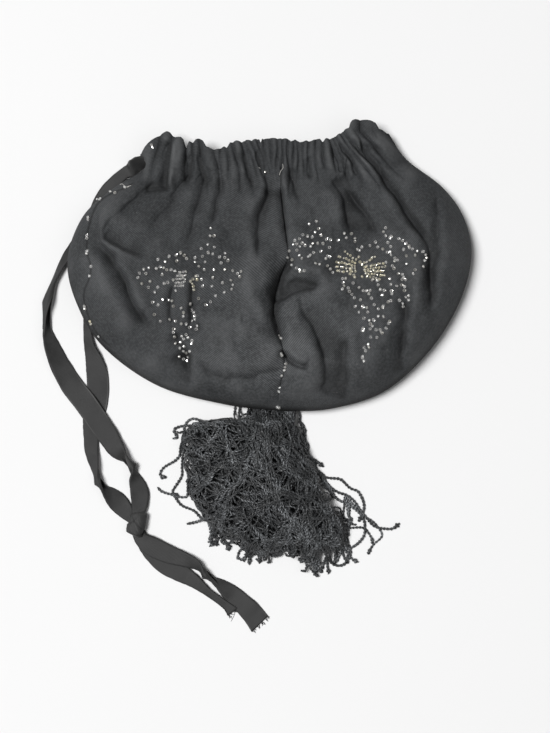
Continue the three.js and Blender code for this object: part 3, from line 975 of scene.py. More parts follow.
FOLDS = (
    # Left shoulder
    Fold(((154, 179), (147, 187), (135, 198), (120, 212), (106, 226), (100, 236)), 2.7, 1.3, 8, fades=0.85),
    Fold(((101, 235), (110, 240), (121, 246), (133, 252), (146, 257)), 4, 5, 1.5, RIGHT, 0.8),
    Fold(((170, 140), (169.5, 152), (168, 164), (166.5, 178), (166, 190)), 5.6, 0.9, 7, RIGHT, 0.85),
    Fold(((145, 191), (154, 189.5), (162, 189), (171, 188.5)), 4.2, 6, 1.2, RIGHT, 0.85),
    Fold(((98, 212), (97.5, 236), (101, 246), (110, 254), (128, 265)), 3.6, 1.5, 4, RIGHT),
    Fold(((106, 250), (117, 266), (125, 281), (131, 296), (137, 309), (146, 319),
          (158, 328)), 5.2, 1.4, 4, RIGHT, 0.7),
    Fold(((187, 152), (189, 163), (188, 172), (182, 182), (174, 192), (164, 202)), 3.5, 2.2, 4),
    Fold(((178, 192), (165, 210), (150, 228), (134, 252)), 2.6, 4.5, 6),
    Fold(((198, 150), (199, 160), (202, 172), (203.5, 180), (202, 190), (198, 202), (195, 213), (191, 230),
          (184, 252)), 2.8, 1.8, 7, fades=0.9),
    Fold(((201, 172), (206, 177), (212, 181)), 2, 1.8, 5, RIGHT),
    Fold(((222, 176), (222, 185), (219, 196), (216, 208), (213, 222), (210, 238)), 2.6, 1, 2.6, RIGHT),
    # Beside the centre seam
    Fold(((243, 150), (247, 165), (252, 183), (257, 203)), 3.5, 3, 5),
    Fold(((255, 150), (258, 160), (263, 172), (267, 185), (267, 197)), 3, 0.9, 3),
    Fold(((268, 184), (266.5, 196), (262, 207), (259, 215), (259, 240), (258, 268)), 4.6, 2, 6, fades=0.85),
    Fold(((281, 182), (281.5, 194), (282.5, 204), (284, 216), (286, 235), (288, 252)), 3.6, 3, 1.4),
    Fold(((265, 190), (274, 191), (284, 193)), 1.6, 0.6, 2.4, RIGHT, 0.9),
    # Right shoulder
    Fold(((290, 168), (293, 180), (297, 192), (301, 206)), 3.2, 2.2, 3.5),
    Fold(((309, 156), (310, 168), (311, 182)), 1.8, 1.8, 2.2),
    Fold(((333, 181), (337, 187), (341.5, 194), (345, 207), (349, 225), (352, 243)), 4.6, 1.6, 8),
    Fold(((336, 177), (342, 181), (350, 179)), 1.4, 2.2, 3, RIGHT, 0.9),
    Fold(((352, 178), (357, 180), (363, 178)), 1.2, 2.2, 3, RIGHT, 0.9),
    Fold(((345, 184), (358, 202), (367, 213), (375, 225), (385, 242)), 4.6, 1.7, 4, RIGHT),
    Fold(((331, 145), (334, 154), (338, 164), (341.5, 174)), 2.4, 1, 2.2, fades=0.85),
    Fold(((338, 142), (344, 153), (351, 164), (359, 177)), 2.4, 1, 2.2, fades=0.85),
    Fold(((345, 160), (346.5, 168), (347, 178)), 2.6, 0.9, 1.8),
    Fold(((350, 140), (357, 149), (365, 158), (373, 167)), 2.8, 1, 2),
    Fold(((351, 128), (357, 136), (362, 144), (366, 152)), 3, 1.2, 3, fades=0.9),
    Fold(((371, 124), (375, 132), (379, 141)), 2, 1, 2),
    Fold(((358, 142), (365, 150), (371, 160), (380, 172), (390, 187), (400, 201), (410, 217), (420, 230),
          (428, 243)), 6.4, 1.3, 2.6, fades=0.9),
    Fold(((425, 234), (430, 250), (432, 272), (432, 298), (431, 318)), 4.6, 2.6, 4, fades=0.75),
    Fold(((437, 186), (437.5, 210), (438.5, 235), (437, 255), (433, 275), (430, 300),
          (429, 318)), 3.4, 1.8, 6, RIGHT),
    Fold(((362, 149), (372, 147), (379, 149), (386, 156)), 1.8, 1.2, 3, RIGHT),
    Fold(((384, 157.5), (397, 158)), 1.3, 1.3, 1.8),
    # Middle
    Fold(((292, 256), (287, 265), (281, 275), (277, 288), (275, 300), (273, 312), (276, 325), (280, 335),
          (283, 345), (287, 354)), 8.5, 4.4, 3.6),
    Fold(((282, 350), (287, 357), (295, 363), (302, 366), (308, 367)), 7, 1.2, 2, RIGHT, 0.85),
    Fold(((272, 302), (281, 297), (291, 293), (303, 288.5), (314, 285),
          (326, 281)), 5, 8, 1.6, RIGHT, 0.8),
    Fold(((283, 286), (292, 281), (301, 280), (310, 283), (319, 287)), 4.4, 2.4, 4, RIGHT, 0.85),
    Fold(((198, 358), (206, 367), (213, 373), (222, 377), (235, 378), (250, 377.5), (262, 374), (275, 371),
          (290, 369)), 2.8, 1.9, 4.5, RIGHT, 0.85),
    Fold(((199, 322), (199, 335), (200, 346), (204, 360)), 2.8, 3, 8, RIGHT),
    Fold(((235, 320), (237, 340), (238, 358)), 1.2, 2, 3, RIGHT),
    Fold(((176, 330), (182, 346), (187, 360), (188, 376)), 4.6, 7, 2.2, fades=0.6),
    Fold(((184, 350), (189, 370), (187, 390)), 5.4, 10, 2.2, fades=0.75),
    Fold(((240, 322), (250, 320), (262, 317)), 1.4, 2, 4),
    Fold(((192, 280), (191.5, 305), (190.5, 330)), 3.4, 1.4, 2.6),
    Fold(((172, 283), (170.5, 303), (171, 330)), 2.8, 1.5, 2.6),
    # Lower right
    Fold(((300, 298), (304, 313), (312, 325), (319, 340), (324, 355), (326, 370), (323, 384),
          (317, 397)), 4.2, 1.9, 17, fades=0.85),
    Fold(((345, 336), (346, 360), (345, 380), (342, 402)), 3.6, 1.8, 7, RIGHT, 0.85),
    Fold(((385, 344), (386, 360), (384, 376)), 1.5, 1.6, 5, RIGHT),
    Fold(((407, 296), (406, 320), (405, 340), (403, 360), (405, 376)), 4.4, 1.7, 6, RIGHT, 0.85),
)

SWELLS = (
    Swell(((150, 158), (146, 174), (132, 191), (113, 210), (101, 230)), 1, 5),
    Swell(((247, 280), (256, 302), (272, 322)), 2, 4),
    Swell(((215, 340), (240, 346), (266, 345)), 3.2, 14),
    Swell(((292, 335), (303, 358), (300, 385)), 3, 10),
    Swell(((325, 285), (335, 305), (345, 325), (352, 340)), 1.8, 5),
    Swell(((418, 290), (427, 318), (424, 340), (412, 368)), 2, 5),
    Swell(((308, 272), (324, 274)), 1.8, 5),
    Swell(((104, 242), (118, 250), (134, 258), (150, 262)), 3.6, 2.6, 0.4),
    Swell(((120, 220), (136, 227), (156, 240)), 2.4, 6),
    Swell(((90, 258), (102, 280), (112, 300), (126, 320)), 3, 6),
    Swell(((112, 350), (150, 376), (200, 390), (262, 393)), 1.4, 6),
)

# Sets of waves: a seed, the shortest and longest wave, the height, and whether they are creased
FOLD_STRAYS = ((13, (12, 36)), (14, (12, 36)))
FOLD_GAIN = (15, (18, 50), 0.2)
WAVES = ((3, (22, 60), 0.6), (5, (7, 16), 0.12), (9, (14, 34), 1.6, True), (10, (6, 12), 0.42, True))


@dataclass(frozen=True)
class Casing:
    """The hem round the mouth: depths are shares of the bag's own depth, sizes are in millimetres."""

    stitch_line: float = 0.125
    turned_in: float = 0.115
    foot: float = 0.17
    doubled: Pair = (2.0, 3.7)
    doubled_by: float = 0.035
    edge_round: float = 1.2
    edge_lean: float = 0.25
    edge_depth: float = 0.03
    gather_height: float = 4.8
    gather_share: float = 0.54
    gather_spread: Pair = (0.55, 1.15)
    gather_floor: Pair = (0.0, 0.55)
    gather_fade: float = 0.10
    gather_reach: Pair = (0.15, 0.27)
    gather_rows: Pair = (145, 172)
    gather_past: Pair = (-0.5, 1.6)
    arch_power: float = 0.6
    inner_share: float = 0.3
    sway: float = 1.1
    sway_pace: float = 4.0
    swell: float = 0.25
    swell_pace: float = 5.0
    stitch_groove: float = 0.15
    stitch_width: float = 0.005
    stitch_stray: float = 0.009
    pull: Pair = (0.1, 0.5)
    pull_width: float = 0.012
    deepest: float = 1.1
    slit: Pair = (0.03, 0.125)
    slit_ends: Pair = (0.04, 0.03)
    slit_power: int = 14
    slit_open: Pair = (1.6, 3.0)
    hem_inset: float = 0.03
    back_short: float = 3.0


@dataclass(frozen=True)
class SewnSeam:
    """A seam in the front: a fine groove with small puckers beside it, in millimetres."""

    groove: float = 1.3
    groove_width: float = 0.7
    pucker: float = 0.28
    pucker_long: float = 6.5
    pucker_width: float = 4.0
    line_width: float = 0.6
    end: float = 0.04
    points: int = 60


@dataclass
class Lie:
    """How a stretch of cloth lies: its points, the smooth form under its folds, the height of the hem's inner
    layer, how much each point stands out as a crest, and how dark it is painted along a seam's dark line and,
    as painted shade, along the lower outline."""

    points: Array
    base: Array
    inner: Array
    crest: Array
    sewn: Array


@dataclass
class BagForm:
    """The form of the whole bag, from which its four gores are cut.

    Shares across run from -1 at the left outline to 1 at the right, and shares down from 0 at the mouth to 1
    at the pole.
    """

    view: View
    casing: Casing = Casing()
    seam: SewnSeam = SewnSeam()
    seam_height: float = 9.0
    rim_height: float = 19.0
    seam_crest: float = 30.0
    wander_keeps: Pair = (0.12, 0.93)
    edge_reach: float = 0.16
    corner_power: int = 60
    cloth_below: Pair = (0.04, 0.14)
    folds_below: float = 0.07
    fold_gain: float = 1.2
    fold_stray: float = 0.8
    fold_points: int = 24
    deeper: float = 12.0
    deeper_below: Pair = (0.10, 0.24)
    seam_line: float = 0.6
    # Painted shade along the lower outline, where the cloth turns under
    rim_shade: float = 0.85
    rim_shade_width: float = 3.2
    rim_shade_below: Pair = (0.35, 0.6)
    crest_shares: Triple = (0.22, -1.1, 0.18)
    dimple: float = 0.5
    dimple_pixels: float = 3.4
    front_roll: float = 32.0
    roll_powers: Pair = (2.2, 0.65)
    back_roll: float = 45.0
    back_power: float = 1.6
    back_inside: float = 14.0
    pleats: float = 11.5
    pleat_height: float = 1.3
    pleat_fade: Pair = (0.08, 0.3)
    outline_points: int = 121
    seed: int = 7
    sides: Arrays = field(init=False)
    seam_chart: Array = field(init=False)
    edge_chart: Array = field(init=False)

    def __post_init__(self) -> None:
        """Work out the seam, the mouth's edge and the outline once."""
        self.seam_chart = self.view.on_height(np.array(CENTRE_SEAM), self.seam_crest)[::-1]
        self.edge_chart = self.view.on_height(np.array(MOUTH_EDGE), self.rim_height)
        steps = np.linspace(0, 1, self.outline_points)
        self.sides = self.chart("left", steps), self.chart("right", steps)

    def chart(self, name: str, t: Array) -> Array:
        """Follow one of the sections' values, such as the left outline, down the bag."""
        stops = np.array([getattr(section, name) for section in SECTIONS], float)
        return flowing(stops.reshape(len(SECTIONS), -1), t)

    def plain_plan(self, s: Array, t: Array) -> Array:
        """Find the plan with no wander.

        Args:
            s: Shares across.
            t: Shares down.

        Returns:
            The points in plan.
        """
        across = s[:, None]
        left = self.chart("left", t) * (across * (across - 1) / 2)
        right = self.chart("right", t) * (across * (across + 1) / 2)
        return left + self.chart("seam", t) * (1 - across**2) + right

    def plan(self, s: Array, t: Array) -> Array:
        """Find the plan, with the centre seam as it wanders and the mouth's edge as it rises.

        Args:
            s: Shares across.
            t: Shares down.

        Returns:
            The points in plan.
        """
        points = self.plain_plan(s, t)
        seam = self.chart("seam", t)
        wander = np.interp(seam[:, 1], self.seam_chart[:, 1], self.seam_chart[:, 0]) - seam[:, 0]
        begun, ends = self.wander_keeps
        keep = smoothstep(0.0, begun, t) * (1 - smoothstep(ends, 1.0, t))
        points[:, 0] += wander * keep * (1 - np.abs(s)) ** 2
        edge = self.plain_plan(s, np.zeros_like(t))
        rise = np.interp(edge[:, 0], self.edge_chart[:, 0], self.edge_chart[:, 1]) - edge[:, 1]
        near_edge = 1 - smoothstep(0.0, self.edge_reach, t)
        points[:, 1] += rise * near_edge * (1 - np.abs(s) ** self.corner_power)
        return points

    def depth(self, points: Array) -> Array:
        """How far plan points lie in from the nearer side outline."""
        left, right = (np.abs(nearest_on_path(points, side)[0]) for side in self.sides)
        return np.minimum(left, right)

    def roll(self, depth: Array) -> Array:
        """How far the front has risen from the side seam to its crown."""
        inner, outer = self.roll_powers
        return (1 - (1 - np.minimum(depth / self.front_roll, 1)) ** inner) ** outer

    def slit(self, s: Array, t: Array) -> Array:
        """Open the casing's left end, where the ribbon comes out.

        Args:
            s: Shares across.
            t: Shares down.

        Returns:
            How far it stands open, from 0 to 1.
        """
        low, high = self.casing.slit
        opens, closes = self.casing.slit_ends
        along = smoothstep(low, low + opens, t) * (1 - smoothstep(high - closes, high, t))
        return along * np.maximum(-s, 0) ** self.casing.slit_power

    def gathers(self, pixels: Array, t: Array) -> Arrays:
        """Find the gathers, which die away below the hem.

        Args:
            pixels: Where the view shows each point.
            t: Shares down.

        Returns:
            The height, and how far each point lies in a cleft.
        """
        casing = self.casing
        rng = new_draw(self.seed)
        count = len(GATHERS)
        ends = rng.uniform(*casing.gather_reach, count)
        spread = rng.uniform(*casing.gather_spread, count)
        phases = rng.uniform(0, FULL_TURN, (2, count))
        floors = rng.uniform(*casing.gather_floor, count)
        stitch_at = casing.stitch_line + rng.normal(0, casing.stitch_stray, count)
        stitch_pull = rng.uniform(*casing.pull, count)
        mouth, stitch = casing.gather_rows
        share = np.clip((pixels[:, 1:] - mouth) / (stitch - mouth), *casing.gather_past)
        tops, feet = np.array(GATHERS, float).T
        lines = tops + (feet - tops) * share
        lines = lines + casing.sway * np.sin(casing.sway_pace * share + phases[0])
        index = np.clip((lines <= pixels[:, :1]).sum(axis=1) - 1, 0, count - 2)
        rows = np.arange(len(pixels))
        low, high = lines[rows, index], lines[rows, index + 1]
        across = np.clip((pixels[:, 0] - low) / (high - low), 0, 1)
        span = (high - low) * self.view.millimetres()
        tall = np.minimum(casing.gather_share * span, casing.gather_height) * spread[index]
        swell = np.sin(casing.swell_pace * share[:, 0] + phases[1][index])
        tall = tall * (1 + casing.swell * swell)
        fade = 1 - smoothstep(casing.gather_fade, ends[index], t)
        pinched = 1 - stitch_pull[index] * hump(t, stitch_at[index], casing.pull_width)
        arch = np.sin(math.pi * across) ** casing.arch_power
        floor = floors[index] * (1 - across) + floors[index + 1] * across
        return (tall * arch + floor * (1 - arch)) * fade * pinched, (1 - arch) * fade

    def folds(self, pixels: Array) -> Array:
        """Find the relief of the charted folds and swells.

        Args:
            pixels: Where the view shows each point.

        Returns:
            The height.
        """
        scale = self.view.millimetres()
        stray = np.column_stack([wave_heights(pixels, *row, self.fold_stray) for row in FOLD_STRAYS])
        gain = self.fold_gain * (1 + wave_heights(pixels, *FOLD_GAIN))
        total = np.zeros(len(pixels))
        for crease in FOLDS + SWELLS:
            is_fold = isinstance(crease, Fold)
            path = traced(crease.line, self.fold_points)
            gap, share = nearest_on_path(pixels + stray if is_fold else pixels, path)
            total += (gain if is_fold else 1.0) * crease.relief(gap * scale, share)
        return total

    def seam_pucker(self, pixels: Array, line: Line) -> Arrays:
        """Sew a seam.

        Args:
            pixels: Where the view shows each point.
            line: The seam, in pixels.

        Returns:
            The depth of its groove and puckers, and the share of the dark line itself.
        """
        seam = self.seam
        path = traced(line, seam.points)
        gap, share = nearest_on_path(pixels, path)
        gap = np.abs(gap) * self.view.millimetres()
        length = running_length(path)[-1] * self.view.millimetres()
        ends = smoothstep(0, seam.end, share) * (1 - smoothstep(1 - seam.end, 1.0, share))
        groove = seam.groove * np.exp(-gap / seam.groove_width)
        puckers = seam.pucker * np.sin(FULL_TURN * share * length / seam.pucker_long)
        puckers = puckers * np.exp(-gap / seam.pucker_width)
        return (groove + puckers) * ends, hump(gap, 0.0, seam.line_width) * ends

    def dimples(self, pixels: Array) -> Array:
        """Find how far the threads of the beads pull the cloth in.

        Args:
            pixels: Where the view shows each point.

        Returns:
            The depth in millimetres.
        """
        total = np.zeros(len(pixels))
        for chart in BEAD_CHARTS:
            for place, _, size in chart.beads():
                square = ((pixels - np.array(place)) ** 2).sum(axis=1)
                total += self.dimple * size * np.exp(-square / self.dimple_pixels**2)
        return np.minimum(total, 2 * self.dimple)

    def front(self, s: Array, t: Array) -> Lie:
        """The front of the bag.

        Args:
            s: Shares across.
            t: Shares down.

        Returns:
            How the cloth lies there.
        """
        casing = self.casing
        plan = self.plan(s, t)
        depth = self.depth(plan)
        roll = self.roll(depth)
        plain = self.seam_height + roll * (self.chart("crown", t)[:, 0] - self.seam_height)
        plain = plain + casing.slit_open[0] * self.slit(s, t)
        points = np.column_stack([plan, plain])
        pixels = self.view.pixels(points)
        gathers, clefts = self.gathers(pixels, t)
        folds = self.folds(pixels) * smoothstep(0.0, self.folds_below, t)
        waves = sum(wave_heights(plan, *row) for row in WAVES)
        centre, _ = self.seam_pucker(pixels, CENTRE_SEAM)
        left, line = self.seam_pucker(pixels, LEFT_SEAM)
        below = smoothstep(*self.cloth_below, t)
        stitch = casing.stitch_groove * hump(t, casing.stitch_line, casing.stitch_width)
        relief = gathers - stitch + folds + (waves - centre - left) * below - self.dimples(pixels)
        lowest = casing.deepest + self.deeper * smoothstep(*self.deeper_below, t)
        points[:, 2] = plain + roll * np.maximum(relief, -lowest)
        points[:, 1] += casing.edge_lean * gathers * (1 - smoothstep(0.0, casing.edge_depth, t)) * roll
        start, full = casing.doubled
        doubled = start + (full - start) * smoothstep(0, casing.doubled_by, t)
        inner = plain + roll * (casing.inner_share * gathers - doubled)
        # Crest is the relief: the finish wears its tops a little lighter and paints shade into its valleys
        high = np.column_stack([gathers, clefts, waves * below + folds])
        crest = np.clip(high @ np.array(self.crest_shares), -1, 1)
        # Painted shade along the lower outline, added to the dark line of the left seam
        edge = (1 - smoothstep(0.0, self.rim_shade_width, depth)) * smoothstep(*self.rim_shade_below, t)
        sewn = self.seam_line * line + self.rim_shade * edge
        weave = np.column_stack([self.plain_plan(s, t), plain])
        return Lie(points, weave, inner, crest, sewn)

    def back(self, s: Array, t: Array) -> Lie:
        """The back of the bag, flat where it rests.

        Args:
            s: Shares across.
            t: Shares down.

        Returns:
            How the cloth lies there.
        """
        casing = self.casing
        plan = self.plan(s, t)
        depth = self.depth(plan)
        lift = (1 - np.minimum(depth / self.back_roll, 1)) ** self.back_power
        inside = np.minimum(depth / self.back_inside, 1)
        pleats = self.pleat_height * np.abs(np.sin(self.pleats * math.pi * s)) * inside
        pleats = pleats * (1 - smoothstep(*self.pleat_fade, t))
        height = self.seam_height * lift + pleats - casing.slit_open[1] * self.slit(s, t)
        points = np.column_stack([plan, height])
        points[:, 1] -= casing.back_short * (1 - smoothstep(0.0, self.edge_reach, t)) * inside
        inner = height + casing.doubled[1] * inside * smoothstep(-0.02, casing.edge_depth, t)
        return Lie(points, points.copy(), inner, np.zeros(len(s)), np.zeros(len(s)))


@dataclass(frozen=True)
class Gore:
    """One of the front's or the back's two panels of cloth, hemmed at the mouth."""

    form: BagForm
    side: Side
    is_front: bool
    columns: int
    hem_rows: int
    edge_rows: int
    casing_rows: int
    body_rows: int
    flat: Pair
    cut_area: float
    wall: float = 0.8
    column_power: float = 1.25

    def name(self) -> str:
        """The CAD node that this gore stands for."""
        face = "front" if self.is_front else "back"
        return f"{face}_{self.side.name.lower()}_gore"

    def tracks(self) -> Arrays:
        """The way down the cloth: inside the hem, over the mouth's edge and down the outside.

        Returns:
            The share down the bag at each row, and how far the row has turned over the edge.
        """
        casing = self.form.casing
        inside = np.linspace(casing.turned_in, 0, self.hem_rows + 1)[:-1]
        edge = np.zeros(self.edge_rows)
        hem = np.linspace(0, casing.foot, self.casing_rows + 1)
        body = np.linspace(casing.foot, 1, self.body_rows + 1)[1:]
        over = np.linspace(-1, 1, self.edge_rows + 2)[1:-1]
        turn = np.concatenate([np.full(len(inside), -1.0), over, np.ones(len(hem) + len(body))])
        return np.concatenate([inside, edge, hem, body]), turn

    def shares_across(self, share: Array) -> Array:
        """Spread the columns, closer at the side outline where the cloth turns under."""
        inward = share if self.is_front == (self.side is Side.LEFT) else 1 - share
        return self.side.value * (1 - inward**self.column_power)

    def build(self, material: Material) -> Piece:
        """Model the gore.

        Args:
            material: The cloth's finish.

        Returns:
            The piece.
        """
        down, turn = self.tracks()
        rows = len(down) - 1
        piece, across, fall = add_grid(f"{self.name()}_cloth", self.columns, rows)
        row = np.rint(fall * rows).astype(int)
        column = np.rint(across * self.columns).astype(int)
        tuck = self.form.casing.hem_inset * (1 - turn[row]) / 2
        s = self.shares_across(across) * (1 - tuck)
        lie = (self.form.front if self.is_front else self.form.back)(s, down[row])
        angle = turn[row] * math.pi / 2
        points = lie.points
        outer = points[:, 2]
        points[:, 2] = (outer + lie.inner) / 2 + (outer - lie.inner) / 2 * np.sin(angle)
        points[:, 1] += self.form.casing.edge_round * np.cos(angle)
        place_vertices(piece, points)
        self.lay_weave(piece, lie.base, row, column)
        set_number(piece, "crest", lie.crest)
        # Carries the seam's dark line and the painted shade along the lower outline
        set_number(piece, "sewn", lie.sewn)
        merge_doubles(piece)
        thicken(piece, self.wall, -1.0)
        dress(piece, material, "cloth", self.name())
        return piece

    def lay_weave(self, piece: Piece, base: Array, row: Array, column: Array) -> None:
        """Unroll the cloth for its weave: lengths out from the centre seam and down from the hem.

        Args:
            piece: The gore.
            base: Its smooth form.
            row: The row of each vertex.
            column: The column of each vertex.
        """
        table = np.zeros((row.max() + 1, column.max() + 1, 3))
        table[row, column] = base
        over = np.linalg.norm(np.diff(table, axis=1), axis=2).cumsum(axis=1)
        down = np.linalg.norm(np.diff(table, axis=0), axis=2).cumsum(axis=0)
        over = np.pad(over, ((0, 0), (1, 0)))
        down = np.pad(down, ((1, 0), (0, 0)))
        seam = 0 if abs(self.shares_across(np.zeros(1))[0]) < 0.5 else column.max()
        out = np.abs(over - over[:, seam : seam + 1])
        set_weave(piece, out[row, column], down[row, column])


# Beads


@dataclass(frozen=True)
class BeadRow:
    """Beads in a straight row between two places of a chart."""

    start: Pair
    end: Pair
    count: int
    yellow: bool = True


@dataclass(frozen=True)
class BeadChart:
    """A spray of beads, charted in parts of a pixel from a corner of the view."""

    name: str
    corner: Pair
    steel: Line
    yellow: Line = ()
    rows: tuple[BeadRow, ...] = ()
    nodes: tuple[str, ...] = ()
    parts: float = 5
    steel_spread: Pair = (0.88, 1.06)
    yellow_size: float = 0.92
    row_size: float = 0.8
    row_spread: Pair = (0.9, 1.1)
    row_stray: float = 1.9

    def pixel(self, point: Array) -> Pair:
        """Turn a place of the chart into a pixel."""
        return (self.corner[0] + point[0] / self.parts, self.corner[1] + point[1] / self.parts)

    def beads(self) -> list[tuple[Pair, bool, float]]:
        """List the beads.

        Returns:
            The pixel of each, whether it is yellowed, and its share of the full size.
        """
        rng = new_draw(len(self.steel))
        found = [(self.pixel(point), False, rng.uniform(*self.steel_spread)) for point in self.steel]
        found += [(self.pixel(point), True, self.yellow_size) for point in self.yellow]
        for row in self.rows:
            for share in np.linspace(0, 1, row.count):
                point = np.array(row.start) * (1 - share) + np.array(row.end) * share
                stray = rng.normal(0, self.row_stray, 2)
                size = self.row_size * rng.uniform(*self.row_spread)
                found.append((self.pixel(point + stray), row.yellow, size))
        return found


LEFT_SPRAY = BeadChart(
    name="left_spray_beads",
    nodes=("beadwork_left",),
    corner=(55, 170),
    steel=(
        # Top petal
        (778, 295), (775, 332), (795, 332), (765, 373), (797, 386), (732, 394), (767, 414), (790, 422),
        (738, 432), (700, 440), (700, 462),
        # Right petal
        (822, 438), (830, 466), (850, 440), (865, 455), (850, 418), (748, 500), (795, 500), (850, 500),
        (790, 540), (890, 505), (912, 520), (932, 510), (926, 536), (882, 552), (892, 575), (885, 597),
        (848, 613), (803, 630), (778, 660), (753, 675), (718, 643), (738, 582), (785, 582), (838, 565),
        (735, 548), (715, 530), (720, 485), (752, 462),
        # Left petal
        (628, 415), (605, 427), (570, 435), (645, 430), (658, 445), (515, 448), (553, 460), (608, 457),
        (525, 485), (505, 493), (545, 490), (560, 500), (580, 500), (470, 490), (445, 497), (455, 518),
        (422, 515), (413, 540), (432, 570), (467, 588), (475, 558), (500, 612), (515, 587), (545, 570),
        (565, 562), (537, 525), (600, 505), (590, 550),
        # Lower left petal
        (487, 662), (517, 676), (538, 650), (567, 652), (590, 655), (497, 722), (527, 756), (570, 748),
        (595, 682),
        # Lower petal
        (607, 605), (635, 690), (645, 712), (643, 732), (672, 670), (685, 700), (698, 712), (703, 730),
        (703, 748), (712, 775), (705, 797), (605, 757), (632, 768), (655, 768), (685, 755), (592, 795),
        (595, 833), (590, 810), (635, 830), (655, 822), (672, 787), (600, 868), (632, 858), (645, 845),
        (665, 840), (685, 855), (682, 870), (622, 890), (640, 905), (657, 910), (677, 905), (620, 930),
        (640, 945), (655, 955), (660, 935), (650, 880),
    ),
    yellow=((675, 555), (690, 545), (690, 565), (695, 580), (698, 600), (705, 530), (712, 550)),
    rows=(
        BeadRow((618, 512), (652, 508), 4, False), BeadRow((612, 529), (655, 526), 5, False),
        BeadRow((608, 546), (652, 544), 5, False), BeadRow((606, 563), (648, 562), 5, False),
        BeadRow((604, 580), (645, 578), 4, False),
    ),
)

RIGHT_SPRAY = BeadChart(
    name="right_spray_beads",
    nodes=("beadwork_right",),
    corner=(255, 170),
    steel=(
        # Left petal
        (270, 272), (307, 258), (318, 295), (300, 312), (332, 330), (238, 325), (262, 332), (287, 338),
        (222, 345), (200, 355), (192, 375), (358, 348), (378, 352), (210, 372), (235, 368), (225, 385),
        (250, 380), (278, 385), (290, 370), (315, 370), (340, 370), (372, 388), (172, 405), (210, 402),
        (162, 437), (222, 430), (235, 445), (265, 437), (275, 428), (295, 415), (328, 410), (190, 448),
        (187, 475), (208, 490), (225, 498), (228, 508), (248, 502), (302, 470), (322, 475), (352, 445),
        (362, 430), (373, 437), (360, 480), (375, 497), (388, 515),
        # Scatter between the petals
        (445, 318), (482, 322), (415, 353), (457, 342), (500, 345), (500, 360), (535, 388), (525, 405),
        (510, 400), (575, 380), (602, 360), (612, 387), (640, 398),
        # Right petal
        (655, 290), (645, 310), (655, 330), (675, 340), (682, 332), (718, 345), (738, 355), (755, 368),
        (770, 380), (772, 392), (788, 397), (810, 408), (838, 410), (850, 425), (855, 440), (845, 455),
        (838, 485), (800, 500), (793, 520), (760, 472), (757, 430), (742, 398), (800, 430), (665, 365),
        (680, 385), (660, 412), (675, 410), (680, 425), (700, 440), (715, 452), (700, 455), (687, 480),
        (655, 460), (695, 495), (715, 520), (735, 522), (745, 535), (735, 548), (755, 550),
        # Lower right petal
        (585, 550), (610, 555), (615, 575), (625, 598), (648, 602), (675, 545), (680, 572), (708, 580),
        (732, 575), (750, 582), (745, 603), (680, 605), (685, 620), (755, 635), (772, 630), (772, 650),
        (720, 650), (735, 665), (738, 682), (680, 655), (638, 628), (665, 660),
        # Lower petal
        (437, 545), (455, 545), (440, 565), (445, 580), (437, 597), (465, 590), (472, 607), (490, 565),
        (520, 588), (485, 622), (497, 640), (527, 650), (540, 605), (557, 603), (577, 602), (570, 620),
        (583, 642), (597, 673), (500, 685), (540, 680), (540, 690), (560, 690), (520, 713), (563, 712),
        (615, 695), (637, 685), (642, 680), (545, 742), (570, 752), (592, 750), (615, 732), (642, 733),
        (540, 790), (535, 803), (575, 795), (587, 780), (575, 770), (605, 800), (625, 798), (655, 792),
        (668, 770), (672, 755), (580, 835), (610, 838), (635, 818), (630, 812), (545, 887), (567, 870),
        (572, 885), (555, 905), (535, 940), (545, 955), (540, 930),
    ),
    yellow=((475, 520), (495, 527), (500, 538), (520, 437), (525, 460), (535, 475), (535, 535)),
    rows=(
        BeadRow((450, 410), (505, 450), 5), BeadRow((415, 430), (500, 465), 7),
        BeadRow((405, 462), (500, 480), 8), BeadRow((405, 485), (500, 495), 8),
        BeadRow((410, 508), (500, 510), 8), BeadRow((600, 437), (545, 465), 5),
        BeadRow((640, 467), (550, 485), 8), BeadRow((650, 485), (548, 500), 8),
        BeadRow((640, 507), (550, 508), 8), BeadRow((650, 530), (555, 520), 8),
        BeadRow((620, 545), (560, 535), 5),
    ),
)

SEAM_BEADS = BeadChart(
    name="seam_beads",
    corner=(55, 170),
    steel=(
        # Left seam
        (352, 92), (280, 112), (302, 117), (217, 150), (228, 148), (168, 238), (168, 250), (160, 328),
        (160, 343), (163, 408), (163, 422), (185, 482), (177, 530), (150, 680), (153, 692), (222, 830),
        # Corner of the mouth
        (484, -124), (489, -112),
        # Centre seam
        (1055, 10), (1125, 830), (1135, 843), (1128, 920), (1130, 930), (1157, 970), (1155, 985),
        (1152, 1003), (1135, 1025), (1127, 1087), (1123, 1105), (1112, 1182), (1120, 1185),
    ),
    yellow=((178, 755), (183, 768)),
)

BEAD_CHARTS = (LEFT_SPRAY, RIGHT_SPRAY, SEAM_BEADS)


